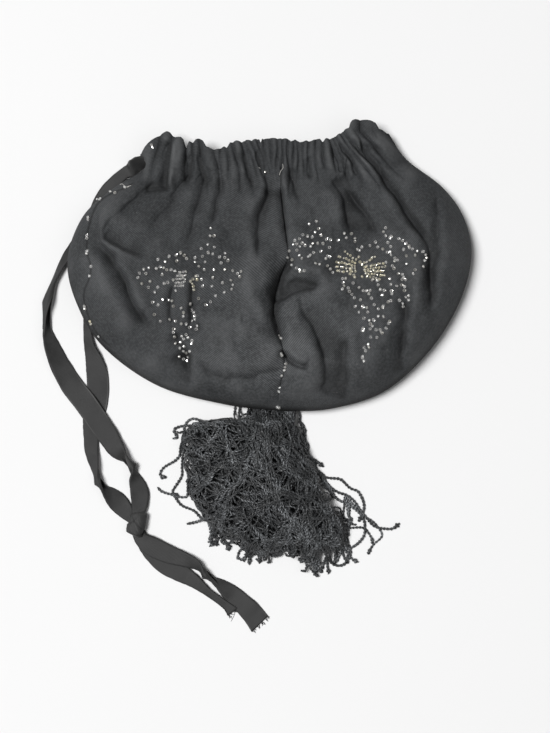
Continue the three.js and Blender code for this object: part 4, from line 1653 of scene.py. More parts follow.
@dataclass(frozen=True)
class Beadwork:
    """Small steel beads, stitched to the front, some flat on the cloth and the others on edge."""

    view: View
    across: float = 2.1
    ring: float = 0.345
    wall: float = 0.155
    tall: float = 1.9
    segments: tuple[int, int] = (9, 5)
    flat_share: float = 0.5
    flat_tilt: Pair = (0.05, 0.4)
    edge_tilt: Pair = (0.8, 1.5)
    rise: Pair = (0.22, 0.16)
    yellow: Pair = (0.35, 0.5)
    seed: int = 21

    def one_bead(self) -> Arrays:
        """Model one bead, a short faceted ring round its hole.

        Returns:
            Its vertices in millimetres and its faces.
        """
        deselect()
        bpy.ops.mesh.primitive_torus_add(
            major_segments=self.segments[0],
            minor_segments=self.segments[1],
            major_radius=self.ring * self.across * MM,
            minor_radius=self.wall * self.across * MM,
        )
        bead = bpy.context.object
        edit_all(bpy.ops.transform.resize, value=(1.0, 1.0, self.tall))
        mesh = bead.data
        points = np.array([vertex.co for vertex in mesh.vertices]) / MM
        faces = np.array([face.vertices for face in mesh.polygons])
        bpy.data.objects.remove(bead)
        bpy.data.meshes.remove(mesh)
        return points, faces

    def turned(self, axis: Array, spin: float) -> Array:
        """Make a frame whose third direction is axis, turned about it.

        Args:
            axis: A direction of length 1.
            spin: The turn in radians.

        Returns:
            The three directions, one in each column.
        """
        helper = np.array([1.0, 0.0, 0.0]) if abs(axis[0]) < 0.8 else np.array([0.0, 1.0, 0.0])
        first = unit(np.cross(axis, helper))
        second = np.cross(axis, first)
        cosine, sine = math.cos(spin), math.sin(spin)
        return np.column_stack([first * cosine + second * sine, second * cosine - first * sine, axis])

    def build(self, chart: BeadChart, cloth: BVHTree, material: Material) -> None:
        """Sew a chart's beads to the cloth.

        Args:
            chart: Where the beads go.
            cloth: The front's surface.
            material: The beads' finish.
        """
        rng = new_draw(self.seed)
        shape, faces = self.one_bead()
        points, corners, tarnish, yellow = [], [], [], []
        eye = Vector(self.view.eye() * MM)
        for pixel, is_yellow, size in chart.beads():
            tilt = rng.uniform(*(self.flat_tilt if rng.random() < self.flat_share else self.edge_tilt))
            heading, spin, dull = rng.uniform(0, FULL_TURN), rng.uniform(0, FULL_TURN), rng.random()
            ray = self.view.rays(np.array([pixel]))[0]
            hit, normal, *_ = cloth.ray_cast(eye, Vector(ray))
            lean = np.array([math.cos(heading), math.sin(heading), 0.0])
            axis = math.cos(tilt) * np.array(normal) + math.sin(tilt) * lean
            frame = self.turned(unit(axis), spin)
            rise = size * self.across * (self.rise[0] + self.rise[1] * math.sin(tilt))
            middle = np.array(hit) / MM + rise * np.array(normal)
            corners.append(faces + len(shape) * len(points))
            points.append(middle + size * shape @ frame.T)
            tarnish.append(np.full(len(shape), size * dull**2))
            yellow.append(np.full(len(shape), (self.yellow[0] + self.yellow[1] * dull) * is_yellow))
        piece = mesh_piece(chart.name, np.concatenate(points), np.concatenate(corners).tolist())
        set_number(piece, "tarnish", np.concatenate(tarnish))
        set_number(piece, "yellow", np.concatenate(yellow))
        dress(piece, material, "beads", *chart.nodes)


# The drawstring


@dataclass(frozen=True)
class Stop:
    """A stop of the ribbon's route, in millimetres: place, height, turn in degrees and share of its width."""

    x: float
    y: float
    lift: float
    turn: float
    pinch: float


UPPER_ROUTE = (
    Stop(-71.5, 76.6, 8.2, -20, 0.5), Stop(-77.8, 75.3, 5.2, -40, 0.6), Stop(-82.3, 73.2, 1.8, -58, 0.92),
    Stop(-85.6, 71.4, 0.9, -50, 0.9), Stop(-87.8, 70.6, 0.8, -8, 0.6), Stop(-91.2, 68.9, 0.8, 0, 0.5),
    Stop(-96.2, 64.2, 0.9, 0, 0.55), Stop(-101.3, 58.4, 1.3, 0, 0.6), Stop(-106, 50.8, 1.2, 0, 0.6),
    Stop(-110, 40.3, 1.2, 0, 0.6), Stop(-115, 31, 1.4, 5, 0.6), Stop(-123.1, 21.1, 1, 15, 0.5),
    Stop(-128.7, 12.4, 0.6, 35, 0.42), Stop(-132.7, 1.2, 0.2, 62, 0.38), Stop(-136.4, -13.6, 0, 90, 0.38),
    Stop(-137.3, -27.3, 0, 122, 0.55), Stop(-135.2, -39.1, 0, 145, 0.75),
    Stop(-131.1, -50.2, 0, 165, 0.85), Stop(-123.1, -64.5, 0.4, 178, 1), Stop(-114.4, -75.6, 1.4, 180, 1),
    Stop(-106.9, -86.2, 1.6, 180, 0.98), Stop(-100.1, -96.1, 1.5, 182, 0.9),
    Stop(-93.9, -106, 0.9, 195, 0.75), Stop(-86.2, -116.3, 0.2, 270, 0.38),
    Stop(-82.5, -123.4, 0.2, 335, 0.62), Stop(-80, -131.4, 0.5, 358, 0.8),
    Stop(-80, -139.5, 1.6, 360, 0.7), Stop(-81.2, -145.7, 2.4, 360, 0.5),
    Stop(-81.5, -151.3, 2.6, 360, 0.45), Stop(-79.1, -159.3, 2, 360, 0.6),
    Stop(-72.2, -164.6, 1.6, 360, 0.85), Stop(-62.3, -169.3, 1.5, 360, 0.8),
    Stop(-52.4, -172.7, 1.5, 365, 0.65), Stop(-44.3, -176.1, 1, 390, 0.5),
    Stop(-37.5, -180.4, 0.4, 450, 0.35), Stop(-30.7, -186.6, 0, 505, 0.5),
    Stop(-23.3, -193.4, 0, 535, 0.75), Stop(-15.2, -200.6, 0, 540, 0.85), Stop(-9.6, -206.5, 0, 540, 0.95),
    Stop(-5.3, -212.4, 0, 540, 1),
)

LOWER_ROUTE = (
    Stop(-72.2, 76, 7.2, 0, 0.42), Stop(-80.1, 75, 3.8, 0, 0.40), Stop(-86, 72.5, 0.3, 0, 0.40),
    Stop(-91.2, 68.7, 0, 0, 0.40), Stop(-95.8, 63.8, 0, 0, 0.5), Stop(-99.4, 53.9, 0, 0, 0.65),
    Stop(-102, 40.3, 0, 0, 0.8), Stop(-105.7, 24.8, 0, 0, 0.8), Stop(-107.6, 9.3, 0, 0, 0.8),
    Stop(-110, -6.2, 0, 0, 0.7), Stop(-112.5, -19.8, 0, 10, 0.5), Stop(-113.5, -28.5, 0, 25, 0.4),
    Stop(-112.2, -39.7, 0, 20, 0.5), Stop(-109.4, -48.4, 0, 10, 0.75), Stop(-107.3, -57, 0, 0, 0.95),
    Stop(-106.6, -67, 0, 0, 1), Stop(-107.6, -76.9, 0, 0, 1), Stop(-109.4, -86.8, 0, 0, 0.9),
    Stop(-110.4, -96.7, 0, 0, 0.68), Stop(-110, -106.6, 0, 10, 0.6), Stop(-107.6, -115.9, 0, 45, 0.5),
    Stop(-103.5, -124, 0, 90, 0.36), Stop(-98.9, -130.8, 0, 145, 0.65), Stop(-93.3, -137.6, 0, 172, 0.85),
    Stop(-88.4, -143.2, 0.2, 180, 0.7), Stop(-84.3, -147.6, 0.6, 180, 0.5),
    Stop(-81.5, -151.9, 0.8, 180, 0.45), Stop(-78.4, -160, 0.2, 180, 0.6), Stop(-72.2, -168, 0, 180, 0.8),
    Stop(-63.6, -175.5, 0, 180, 0.9), Stop(-54.9, -180.7, 0, 180, 0.8), Stop(-46.2, -186, 0, 185, 0.6),
    Stop(-38.1, -192.5, 0, 195, 0.38), Stop(-30.7, -197.8, 0, 195, 0.34),
    Stop(-25.7, -201.5, 0, 190, 0.38), Stop(-22, -205, 0, 182, 0.55),
)


@dataclass(frozen=True)
class Ribbon:
    """One of the drawstring's two strands, through the knot to its cut end."""

    name: str
    route: tuple[Stop, ...]
    nodes: tuple[str, ...]
    length: float
    slant: float
    seed: int
    width: float = 14.0
    wall: float = 0.45
    turn_under: float = 0.4
    turns_past: float = 0.12
    narrowest: float = 0.3
    fullest_curl: float = 2.4
    flutter: float = 0.22
    flutter_waves: Triple = (17.0, 29.0, 41.0)
    tip: float = 10.0
    clearance: float = 0.05
    columns: int = 22
    step: float = 1.2
    yarns: int = 22
    yarn_reach: Pair = (0.8, 2.8)
    yarn_lean: float = 0.5
    yarn_droop: float = 0.5
    yarn_lowest: float = 0.2
    yarn_radius: float = 0.13
    yarn_sides: int = 4

    def centre_line(self) -> Arrays:
        """The route at even steps.

        Returns:
            The points in millimetres, and the turn in radians beside the pinch for each.
        """
        stops = np.array([astuple(stop) for stop in self.route], float)
        even = even_path(stops, self.step, fine=30, measured=3)
        even[:, 3] = np.radians(even[:, 3])
        even[:, 4] = np.clip(even[:, 4], self.narrowest, 1.0)
        return even[:, :3], even[:, 3:]

    def curl_for(self, pinch: Array) -> Array:
        """How far each half of the ribbon curls, in radians, to show only a share of its width."""
        angles = np.linspace(0.02, self.fullest_curl, 200)
        return np.interp(-pinch, -np.sin(angles) / angles, angles)

    def section(self, pinch: Array, turn: Array, across: Array) -> Arrays:
        """Bend the ribbon across, so that it shows only a share of its width.

        Both edges are turned under where it lies flat, and it curls up where it stands on edge.

        Args:
            pinch: The share of the width that shows, for each vertex.
            turn: The ribbon's turn about its length, in radians.
            across: The share across, -1 to 1.

        Returns:
            How far each vertex lies to the side, and how far out of the ribbon's face.
        """
        half = self.width / 2
        curl = self.curl_for(pinch)
        curl_side = half / curl * np.sin(curl * across)
        curl_out = half / curl * (np.cos(curl * across) - np.cos(curl))
        bend = self.turn_under * smoothstep(0.0, self.turns_past, 1 - pinch) + 1e-4
        edge = half * pinch - bend
        past = np.maximum(half * np.abs(across) - edge, 0)
        angle = np.minimum(past / bend, math.pi)
        back = np.maximum(past - math.pi * bend, 0)
        flat = np.minimum(half * np.abs(across), edge) + bend * np.sin(angle) - back
        flat_out = -bend * (1 - np.cos(angle))
        lying = np.cos(turn)
        share = np.abs(lying)
        side = share * np.sign(across) * flat + (1 - share) * curl_side
        return side, lying * flat_out + (1 - share) * curl_out

    def surface(self, rows: Array, across: Array) -> Arrays:
        """The ribbon's surface.

        Args:
            rows: The row of the centre line for each vertex.
            across: The share across for each vertex, -1 to 1.

        Returns:
            The points in millimetres, and the middle line that they follow.
        """
        middle, shape = self.centre_line()
        ahead = np.gradient(middle, axis=0)
        ahead[:, 2] = 0
        ahead = unit(ahead)
        level = np.column_stack([quarter_turn(ahead[:, :2]), np.zeros(len(ahead))])
        cosine, sine = np.cos(shape[:, :1]), np.sin(shape[:, :1])
        over = level * cosine + UPWARD * sine
        face = UPWARD * cosine - level * sine
        rng = new_draw(self.seed)
        along = running_length(middle)
        flutter = np.zeros((len(middle), 2))
        for wave in self.flutter_waves:
            phase = rng.uniform(0, FULL_TURN, 2)
            flutter += self.flutter * np.sin(FULL_TURN * along[:, None] / wave + phase)
        sideways, out = self.section(shape[rows, 1], shape[rows, 0], across)
        out = out + flutter[rows, 0] * np.maximum(across, 0) ** 2
        out = out + flutter[rows, 1] * np.minimum(across, 0) ** 2
        slide = self.slant * across * smoothstep(along[-1] - self.tip, along[-1], along[rows])
        points = middle[rows] + over[rows] * sideways[:, None] + face[rows] * out[:, None]
        points += ahead[rows] * slide[:, None]
        lowest = np.full(len(middle), np.inf)
        np.minimum.at(lowest, rows, points[:, 2])
        rests_at = np.maximum(middle[:, 2], 0) + self.wall / 2 + self.clearance
        points[:, 2] += (rests_at - lowest)[rows]
        keel = np.bincount(rows, points[:, 2]) / np.bincount(rows)
        return points, np.column_stack([middle[:, :2], keel])

    def fray(self, edge: Array, ahead: Array) -> Piece:
        """Model the loose yarns of the cut end.

        Args:
            edge: The points along the cut edge.
            ahead: The direction in which the ribbon ends.

        Returns:
            The piece.
        """
        rng = new_draw(self.seed + 100)
        side = np.array([-ahead[1], ahead[0], 0.0])
        steps = np.linspace(-0.2, 1, 6)[:, None]
        tubes = []
        for start in edge[rng.integers(0, len(edge), self.yarns)]:
            reach = rng.uniform(*self.yarn_reach)
            lean = rng.normal(0, self.yarn_lean, 2)
            path = start + reach * (steps * ahead + (lean[0] * steps + lean[1] * steps**2) * side)
            path[:, 2] = np.maximum(path[:, 2] - self.yarn_droop * steps[:, 0] ** 2, self.yarn_lowest)
            tubes.append(tube(path, np.full((len(path), self.yarn_sides), self.yarn_radius)))
        return tube_piece(f"{self.name}_fray", tubes, self.yarn_sides)

    def build(self, material: Material, knot: Piece) -> None:
        """Model the ribbon.

        Args:
            material: The ribbon's finish.
            knot: The knot that it passes through; not used.
        """
        count = len(self.centre_line()[0])
        piece, across, fall = add_grid(self.name, self.columns, count - 1)
        rows = np.rint((1 - fall) * (count - 1)).astype(int)
        share = 1 - 2 * across
        points, line = self.surface(rows, share)
        place_vertices(piece, points)
        set_weave(piece, share * self.width / 2, running_length(line)[rows])
        thicken(piece, self.wall, 0.0)
        dress(piece, material, "ribbon", *self.nodes)
        ahead = line[-1] - line[-4]
        ahead[2] = 0
        fray = self.fray(points[rows == count - 1], unit(ahead))
        set_weave(fray, *np.zeros((2, len(fray.data.vertices))))
        dress(fray, material, "ribbon")
        log.info("%s: %.0f mm long", self.name, running_length(line)[-1])


@dataclass(frozen=True)
class Knot:
    """The knot that ties the two strands: a band wrapped round them, creased and pulled tight."""

    x: float = -81.6
    y: float = -150.8
    half_across: float = 5.0
    half_high: float = 3.6
    half_long: float = 7.0
    degrees: float = -10.0
    wall: float = 0.5
    lowest: float = 0.15
    columns: int = 72
    rows: int = 44

    def build(self, material: Material) -> Piece:
        """Model the knot as a rolled wrap with slanting creases.

        Args:
            material: The ribbon's finish.

        Returns:
            The piece.
        """
        piece, across, fall = add_grid("ribbon_knot_wrap", self.columns, self.rows)
        around = FULL_TURN * across
        along = 2 * fall - 1
        end = np.abs(along)
        waist = 1 - 0.14 * end**3 - 0.35 * smoothstep(0.86, 1.0, end)
        band = smoothstep(-0.12, 0.12, np.sin(around - 1.9 * along + 0.3) + 0.25 * np.sin(2 * around))
        crease = np.exp(-np.abs(np.sin(around / 2 + 0.9 * along - 0.5)) / 0.10)
        pleat = np.exp(-np.abs(np.sin(around - 1.1 * along + 0.9)) / 0.07)
        ribs = 0.035 * np.sin(5 * around + 7 * along) * smoothstep(0.15, 0.7, end)
        girth = waist * (0.94 + 0.13 * band - 0.10 * crease - 0.06 * pleat + ribs)
        side = self.half_across * girth * np.cos(around)
        tall = self.half_high * girth * np.sin(around)
        skew = 1.6 * np.sin(around) * (1 - along**2) + 0.8 * np.cos(around) * along
        ahead = self.half_long * along + skew
        turn = math.radians(self.degrees)
        x = self.x + side * math.cos(turn) + ahead * math.sin(turn)
        y = self.y - ahead * math.cos(turn) + side * math.sin(turn)
        place_vertices(piece, np.column_stack([x, y, np.maximum(self.half_high + tall, self.lowest)]))
        set_weave(piece, self.half_long * along, around * self.half_across)
        merge_doubles(piece)
        thicken(piece, self.wall, -1.0)
        dress(piece, material, "ribbon", "ribbon_knot")
        return piece


# The tassel


@dataclass(frozen=True)
class Girth:
    """The tassel's outer form at one place down its length, in millimetres."""

    y: float
    left: float
    right: float
    height: float


TASSEL_FORM = (
    Girth(-70, -8, 14, 5), Girth(-79, -13, 18, 10), Girth(-85.5, -20, 18.7, 14),
    Girth(-89, -46, 19.3, 17), Girth(-99, -53.6, 21.5, 20), Girth(-118, -52.4, 28.8, 24),
    Girth(-134, -47.5, 38, 25), Girth(-149, -38, 46.5, 22), Girth(-161, -24, 47.5, 17),
    Girth(-169, -8.4, 40, 10), Girth(-173, 8, 30, 4),
)

STRAY_CORDS = (
    # Neck
    ((-21, -72), (-21, -78), (-20.8, -86), (-20.5, -90), (-16, -95)),
    ((-18, -72), (-18, -78), (-17.8, -85), (-17, -89), (-11, -95)),
    # Loops at the left shoulder
    ((-52, -100), (-52.5, -92), (-50.5, -87.5), (-47.5, -86), (-44, -86.8), (-40, -87.5), (-35, -89),
     (-30, -92)),
    ((-59.8, -98.5), (-57.4, -97.5), (-58.9, -93.7), (-58, -91.5), (-55, -90.5), (-51, -90.3),
     (-46.8, -91.2), (-43, -94)),
    ((-57.2, -94), (-56, -95), (-54, -94), (-52, -97), (-50.5, -101)),
    ((-30, -90), (-27, -86.5), (-24.5, -87), (-22.5, -90), (-20, -94)),
    # Left strays
    ((-47, -96), (-52.4, -98.6), (-54.2, -101.7), (-55.2, -106.6), (-55.8, -109.1), (-58.6, -112.2),
     (-62.3, -114.1), (-65.4, -115.9), (-67.6, -119), (-67.3, -121.5), (-65.4, -122.4), (-63.2, -122.1)),
    ((-51.8, -104.2), (-53.6, -109.1), (-53.6, -114.1), (-54.2, -120.9), (-56.1, -125.2), (-58.6, -129),
     (-59.8, -131.4), (-56, -134)),
    ((-69.1, -128.6), (-67.3, -130.8), (-63.6, -131.8), (-60.4, -132.4), (-57.4, -133.9), (-53, -134.9),
     (-50.5, -133.3), (-49.9, -127.1), (-50.5, -122.8)),
    ((-60.4, -132.2), (-54.9, -138.3), (-46.8, -143.2), (-40.6, -147.6), (-32, -149)),
    ((-50.8, -151.4), (-46, -150), (-41.5, -148.3), (-33, -146)),
    # Lower tips
    ((-37, -161.5), (-36, -158), (-32, -155), (-28, -148)),
    ((-32.4, -165.2), (-32.2, -161), (-28, -157), (-21, -152)),
    ((-17.5, -174), (-14, -170), (-12, -165), (-6, -158)),
    ((-12, -175), (-10.5, -170), (-6, -165), (-1, -158)),
    ((-3.2, -174.1), (-1, -169), (3, -163), (8, -156)),
    ((24, -160), (22, -166), (21.5, -171), (23.5, -176), (28.5, -181), (31, -183)),
    ((30, -160), (28.5, -168), (27.5, -174), (30, -178), (33.5, -181)),
    ((34, -162), (36, -168), (35, -173), (33, -178), (30.5, -180)),
    ((36, -164), (39.1, -174.6), (45.3, -176.7), (50.5, -170.5), (49.5, -165.3), (42, -160)),
    # Right strays
    ((10, -85), (19.5, -95.1), (24.1, -107.5), (29.8, -112.6), (34.5, -115.7)),
    ((14, -104), (25.7, -115.7), (36, -121.9), (45.3, -124), (50.5, -128.6), (55.7, -131.2),
     (58.8, -137.4), (58.2, -144.7), (56, -150)),
    ((16, -106), (27.8, -117.8), (36, -125), (41.2, -134.3), (48.4, -138.5), (56.7, -144.7),
     (59.8, -152.9), (58.8, -159.1), (51.5, -165.3), (45.3, -165.3)),
    ((18, -108), (29.8, -117.8), (41.2, -130.7), (50.5, -134.3), (57.7, -143.6), (63.9, -150.9),
     (70.1, -154), (76.3, -154), (81.5, -150.3)),
    ((50, -137), (58.8, -145.7), (68.1, -152.9), (70.1, -158.1), (65, -164.3), (61.3, -169.5)),
    ((40, -150), (48.4, -152.9), (58.8, -154), (63.9, -159.1), (63.9, -163.3)),
)


@dataclass(frozen=True)
class Tuft:
    """Cord ends that hang out of the tassel's lower edge: place, reach in millimetres, and number."""

    x: float
    y: float
    reach: float
    count: int


TUFTS = (
    Tuft(-34, -159, 6, 4), Tuft(-25, -163, 4, 3), Tuft(-14, -166, 9, 6), Tuft(-3.5, -167, 8, 5),
    Tuft(13, -167, 5, 5), Tuft(23, -166, 9, 5), Tuft(30, -166, 15, 7), Tuft(45, -162, 14, 6),
    Tuft(50, -148, 6, 4),
)


@dataclass(frozen=True)
class Tassel:
    """A tangle of twisted cords in loose bunches, gathered at the pole of the bag.

    Sizes are in millimetres. Layers run from 0 on the floor to 1 on top of the tassel's form.
    """

    bunches: int = 62
    cords_each: int = 7
    loose_cords: int = 80
    radius: float = 0.57
    lobe: float = 0.42
    lay: float = 4.4
    stray_growth: float = 1.3
    # Per cord, how strong its painted highlight is
    wear_and_light: Pair = (0.5, 1.05)
    sides: int = 6
    step: float = 0.85
    deep_share: float = 0.5
    deep_step: float = 1.7
    knotted: float = 0.6
    neck_left: float = -13.0
    neck_start: tuple[Pair, Pair] = ((-11, 16), (-82, -74))
    neck_length: Pair = (80, 125)
    neck_lean: Pair = (-1.15, 1.05)
    inner_start: Pair = (-90, -72)
    inner_length: Pair = (45, 90)
    heart: Pair = (-145.0, -100.0)
    aside: float = 11.0
    stride: float = 4.5
    margin: float = 7.0
    turn_back: float = 0.6
    dome_power: float = 0.35
    bunch_bend: float = 0.26
    loose_bend: float = 0.42
    drift: float = 2.0
    rests: float = 1.4
    stray_rests: float = 1.3
    stray_span: int = 11
    shoulder: float = -86.5
    lowest: float = -166.0
    core_grid: tuple[int, int] = (40, 50)
    core_inset: float = 5.0
    core_wall: float = 0.2
    seed: int = 11

    def reach(self, y: Array) -> tuple[Array, Array, Array]:
        """The left and right outline and the height of the tassel's form at y."""
        places, *charts = np.array([astuple(girth) for girth in TASSEL_FORM[::-1]], float).T
        return tuple(np.interp(y, places, chart) for chart in charts)

    def ceiling(self, plan: Array) -> Array:
        """Find the height of the tassel's form.

        Args:
            plan: Points in plan.

        Returns:
            The height over each.
        """
        x, y = plan.T
        left, right, height = self.reach(y)
        share = (x - (left + right) / 2) / np.maximum((right - left) / 2, 1)
        return height * np.maximum(1 - share**2, 0.0) ** self.dome_power

    def drawn_in(self, plan: Array) -> Array:
        """Draw a plan in where it runs past the tassel's outline, which is a little ragged.

        Args:
            plan: The plan.

        Returns:
            The plan, drawn in.
        """
        x, y = plan.T.copy()
        shoulder = self.shoulder - 1.5 * np.sin(x / 4.1) ** 2
        y -= 0.85 * np.where(x < self.neck_left, np.maximum(y - shoulder, 0), 0)
        y += 0.6 * np.maximum(self.lowest - 5 * np.sin(x / 3.7) ** 2 - y, 0)
        left, right, _ = self.reach(y)
        x += 0.75 * (np.maximum(left - x, 0) - np.maximum(x - right - 1.5 * np.sin(y / 3.1) ** 2, 0))
        return np.column_stack([x, y])

    def wander(self, rng: Draw, at_neck: bool, bend: float) -> Array:
        """Draw a plan: out of the neck, or from within the tangle, turning back at the outline.

        Args:
            rng: The draw.
            at_neck: Whether the line starts in the neck.
            bend: How far the line turns at each stride, in radians.

        Returns:
            The line's stops.
        """
        down = -math.pi / 2
        if at_neck:
            point = np.array([rng.uniform(*limits) for limits in self.neck_start])
            heading = down + rng.uniform(-0.3, 0.3)
        else:
            y = self.inner_start[0] + self.inner_start[1] * rng.random() ** 0.85
            left, right, _ = self.reach(y)
            point = np.array([left + (right - left) * rng.random() ** 0.8, y])
            heading = rng.uniform(0, FULL_TURN)
        lean = rng.uniform(*self.neck_lean)
        length = rng.uniform(*(self.neck_length if at_neck else self.inner_length))
        margin = rng.uniform(0, self.margin)
        aside = rng.normal(0, self.aside, 2)
        plan = [point]
        for step in range(int(length / self.stride)):
            if at_neck:
                goal = down + lean * min(1.0, step / 4)
                heading += 0.2 * (goal - heading)
            heading += rng.normal(0, bend)
            x, y = point
            left, right, _ = self.reach(y)
            middle = np.array([(left + right) / 2, np.clip(y, *self.heart)]) + aside
            beyond = max(left + margin - x, x - right + margin, self.lowest - 1 + margin - y)
            above = y - self.shoulder + 0.4 * margin if x < self.neck_left else -1.0
            if max(beyond, above) > 0 and step > 1:
                back = math.atan2(middle[1] - y, middle[0] - x)
                swing = (back - heading + math.pi) % FULL_TURN - math.pi
                heading += self.turn_back * swing
                lean += 0.4 * swing
            point = point + self.stride * np.array([math.cos(heading), math.sin(heading)])
            plan.append(point)
        return np.array(plan)

    def bunch(self, rng: Draw, layer: float) -> list[tuple[Array, bool]]:
        """Lay a bunch of cords that run side by side, each with its own ends and drift.

        Args:
            rng: The draw.
            layer: Its layer.

        Returns:
            The middle line of each cord, and whether it ends in a knot.
        """
        guide = even_path(self.wander(rng, rng.random() < 0.4, self.bunch_bend), 3.0)
        cords = []
        for _ in range(self.cords_each):
            first = int(rng.uniform(0, 0.25) * len(guide))
            last = max(first + 6, int(rng.uniform(0.65, 1.0) * len(guide)))
            part = guide[first : last + 1]
            drift = flowing(rng.normal(0, self.drift, (4, 2)), np.linspace(0, 1, len(part)))
            height = np.clip(layer + rng.normal(0, 0.07), 0.03, 1.0)
            cords.append((self.body_cord(rng, part + drift, height), rng.random() < self.knotted))
        return cords

    def body_cord(self, rng: Draw, stops: Array, layer: float) -> Array:
        """Lay one cord of the body.

        Args:
            rng: The draw.
            stops: The stops of its plan.
            layer: Its layer.

        Returns:
            Its middle line.
        """
        step = self.step if layer > self.deep_share else self.deep_step * self.step
        plan = self.drawn_in(even_path(stops, step))
        along = running_length(plan)
        sway = 0.08 * np.sin(FULL_TURN * along / rng.uniform(18, 40) + rng.uniform(*ANY_PHASE))
        share = np.clip(layer + sway, 0.02, 1.0)
        rests_at = self.rests * self.radius
        height = rests_at + share * np.maximum(self.ceiling(plan) - 2 * self.radius, 0.3)
        height = eased(height, 2 * int(3.5 / step) + 1)
        curl = rng.uniform(0.1, 0.45)
        turn = FULL_TURN * along / rng.uniform(6, 14) + rng.uniform(*ANY_PHASE)
        across = unit(quarter_turn(np.gradient(plan, axis=0)))
        plan = plan + across * (curl * np.sin(turn))[:, None]
        return np.column_stack([plan, np.maximum(height + 0.5 * curl * np.cos(turn), rests_at)])

    def stray_cord(self, line: tuple, rng: Draw) -> Array:
        """Lay one charted stray cord on the floor, rising where it lies on the body.

        Args:
            line: The stops of its plan.
            rng: The draw.

        Returns:
            Its middle line.
        """
        plan = even_path(np.array(line, float), self.step)
        along = running_length(plan)
        plan += 0.35 * np.column_stack([np.sin(along / 2.3), np.cos(along / 2.9)])
        rests_at = self.stray_rests * self.radius
        height = rests_at + 0.96 * self.ceiling(plan) + 0.4 * rng.random()
        return np.column_stack([plan, np.maximum(eased(height, self.stray_span), rests_at)])

    def tuft_cord(self, tuft: Tuft, rng: Draw) -> Array:
        """Lay one cord of a tuft, out of the body and down to a curled tip.

        Args:
            tuft: The tuft.
            rng: The draw.

        Returns:
            Its middle line.
        """
        x, y, reach, _ = astuple(tuft)
        tip = np.array([x + rng.normal(0, 0.3 * reach), y - reach * rng.uniform(0.45, 1.0)])
        root = np.array([x + rng.normal(0, 4.0), y + rng.uniform(9, 15)])
        brow = np.array([x + rng.normal(0, 2.5), y + 2.0])
        bend = (brow + tip) / 2 + rng.normal(0, 0.16 * reach, 2)
        curl = tip + np.array([rng.normal(0, 2.2), rng.uniform(-0.5, 2.5)])
        return self.stray_cord((root, brow, bend, tip, curl), rng)

    def twist(self, path: Array, rng: Draw, knotted: bool, growth: float) -> Arrays:
        """Work out a cord's twisted strands.

        Args:
            path: The cord's middle line in millimetres.
            rng: The draw.
            knotted: Whether the cord ends in a small knot.
            growth: How much thicker the cord is than those of the body.

        Returns:
            The radius for each point and side, and how far each stands on a strand, from 0 to 1, which the
            finish paints as a highlight.
        """
        along = running_length(path)
        left = along[-1] - along
        angle = np.linspace(0, FULL_TURN, self.sides, endpoint=False)
        spin = FULL_TURN * along / self.lay + rng.uniform(*ANY_PHASE)
        thick = growth * self.radius * rng.uniform(0.82, 1.1) * (1 + 0.06 * np.sin(along / 3.1))
        if knotted:
            thick = thick * (1 + 0.9 * hump(left, 2.2, 1.3))
        thick = thick * smoothstep(-0.6, 0.5, along) * smoothstep(-0.6, 0.5, left)
        strand = np.cos(2 * (angle[None] - spin[:, None]))
        return thick[:, None] * (1 + self.lobe * strand), 0.5 + 0.5 * strand

    def bundle(self, name: str, cords: list[tuple[Array, bool]], rng: Draw, growth: float = 1.0) -> Piece:
        """Join cords into one piece.

        Args:
            name: The piece's name.
            cords: The middle line of each, and whether it ends in a knot.
            rng: The draw.
            growth: How much thicker they are than those of the body.

        Returns:
            The piece.
        """
        tubes, strands = [], []
        # Each cord's painted highlight gets its own strength
        wear_and_light = new_draw(len(cords)).uniform(*self.wear_and_light, len(cords))
        for (path, knotted), share in zip(cords, wear_and_light):
            radius, strand = self.twist(path, rng, knotted, growth)
            tubes.append(tube(path, radius))
            strands.append(share * strand.ravel())
        piece = tube_piece(name, tubes, self.sides)
        set_number(piece, "strand", np.concatenate(strands))
        return piece

    def core(self) -> Piece:
        """Model the mass of cords that lies hidden under the others, as a low mound.

        Returns:
            The piece.
        """
        piece, across, fall = add_grid("tassel_core", *self.core_grid)
        y = self.shoulder - 4 + fall * (self.lowest + 8 - self.shoulder)
        left, right, _ = self.reach(y)
        plan = np.column_stack([left + self.core_inset + across * (right - left - 2 * self.core_inset), y])
        rim = np.minimum(np.minimum(across, 1 - across), np.minimum(fall, 1 - fall))
        height = 0.3 + 0.5 * smoothstep(0.0, 0.12, rim) * self.ceiling(plan)
        place_vertices(piece, np.column_stack([plan, height]))
        set_number(piece, "strand", np.zeros(len(y)))
        thicken(piece, self.core_wall, -1.0)
        return piece

    def build(self, material: Material) -> None:
        """Model the tassel's cords.

        Args:
            material: The cords' finish.
        """
        rng = new_draw(self.seed)
        body = []
        for layer in np.linspace(0.02, 1.0, self.bunches) ** 0.6:
            body += self.bunch(rng, layer)
        deep = len(body) // 3
        dress(self.bundle("tassel_deep_cords", body[:deep], rng), material, "cord", "tassel_skirt")
        dress(self.bundle("tassel_middle_cords", body[deep : 2 * deep], rng), material, "cord")
        loose = []
        for _ in range(self.loose_cords):
            stops = self.wander(rng, rng.random() < 0.3, self.loose_bend)
            cord = self.body_cord(rng, stops, rng.uniform(0.85, 1.0))
            loose.append((cord, rng.random() < self.knotted))
        dress(self.bundle("tassel_top_cords", body[2 * deep :], rng), material, "cord")
        dress(self.bundle("tassel_loose_cords", loose, rng), material, "cord")
        strays = [(self.stray_cord(line, rng), True) for line in STRAY_CORDS]
        for tuft in TUFTS:
            strays += [(self.tuft_cord(tuft, rng), rng.random() < 0.7) for _ in range(tuft.count)]
        dress(self.bundle("tassel_stray_cords", strays, rng, self.stray_growth), material, "cord")
        dress(self.core(), material, "cord")


# Threads


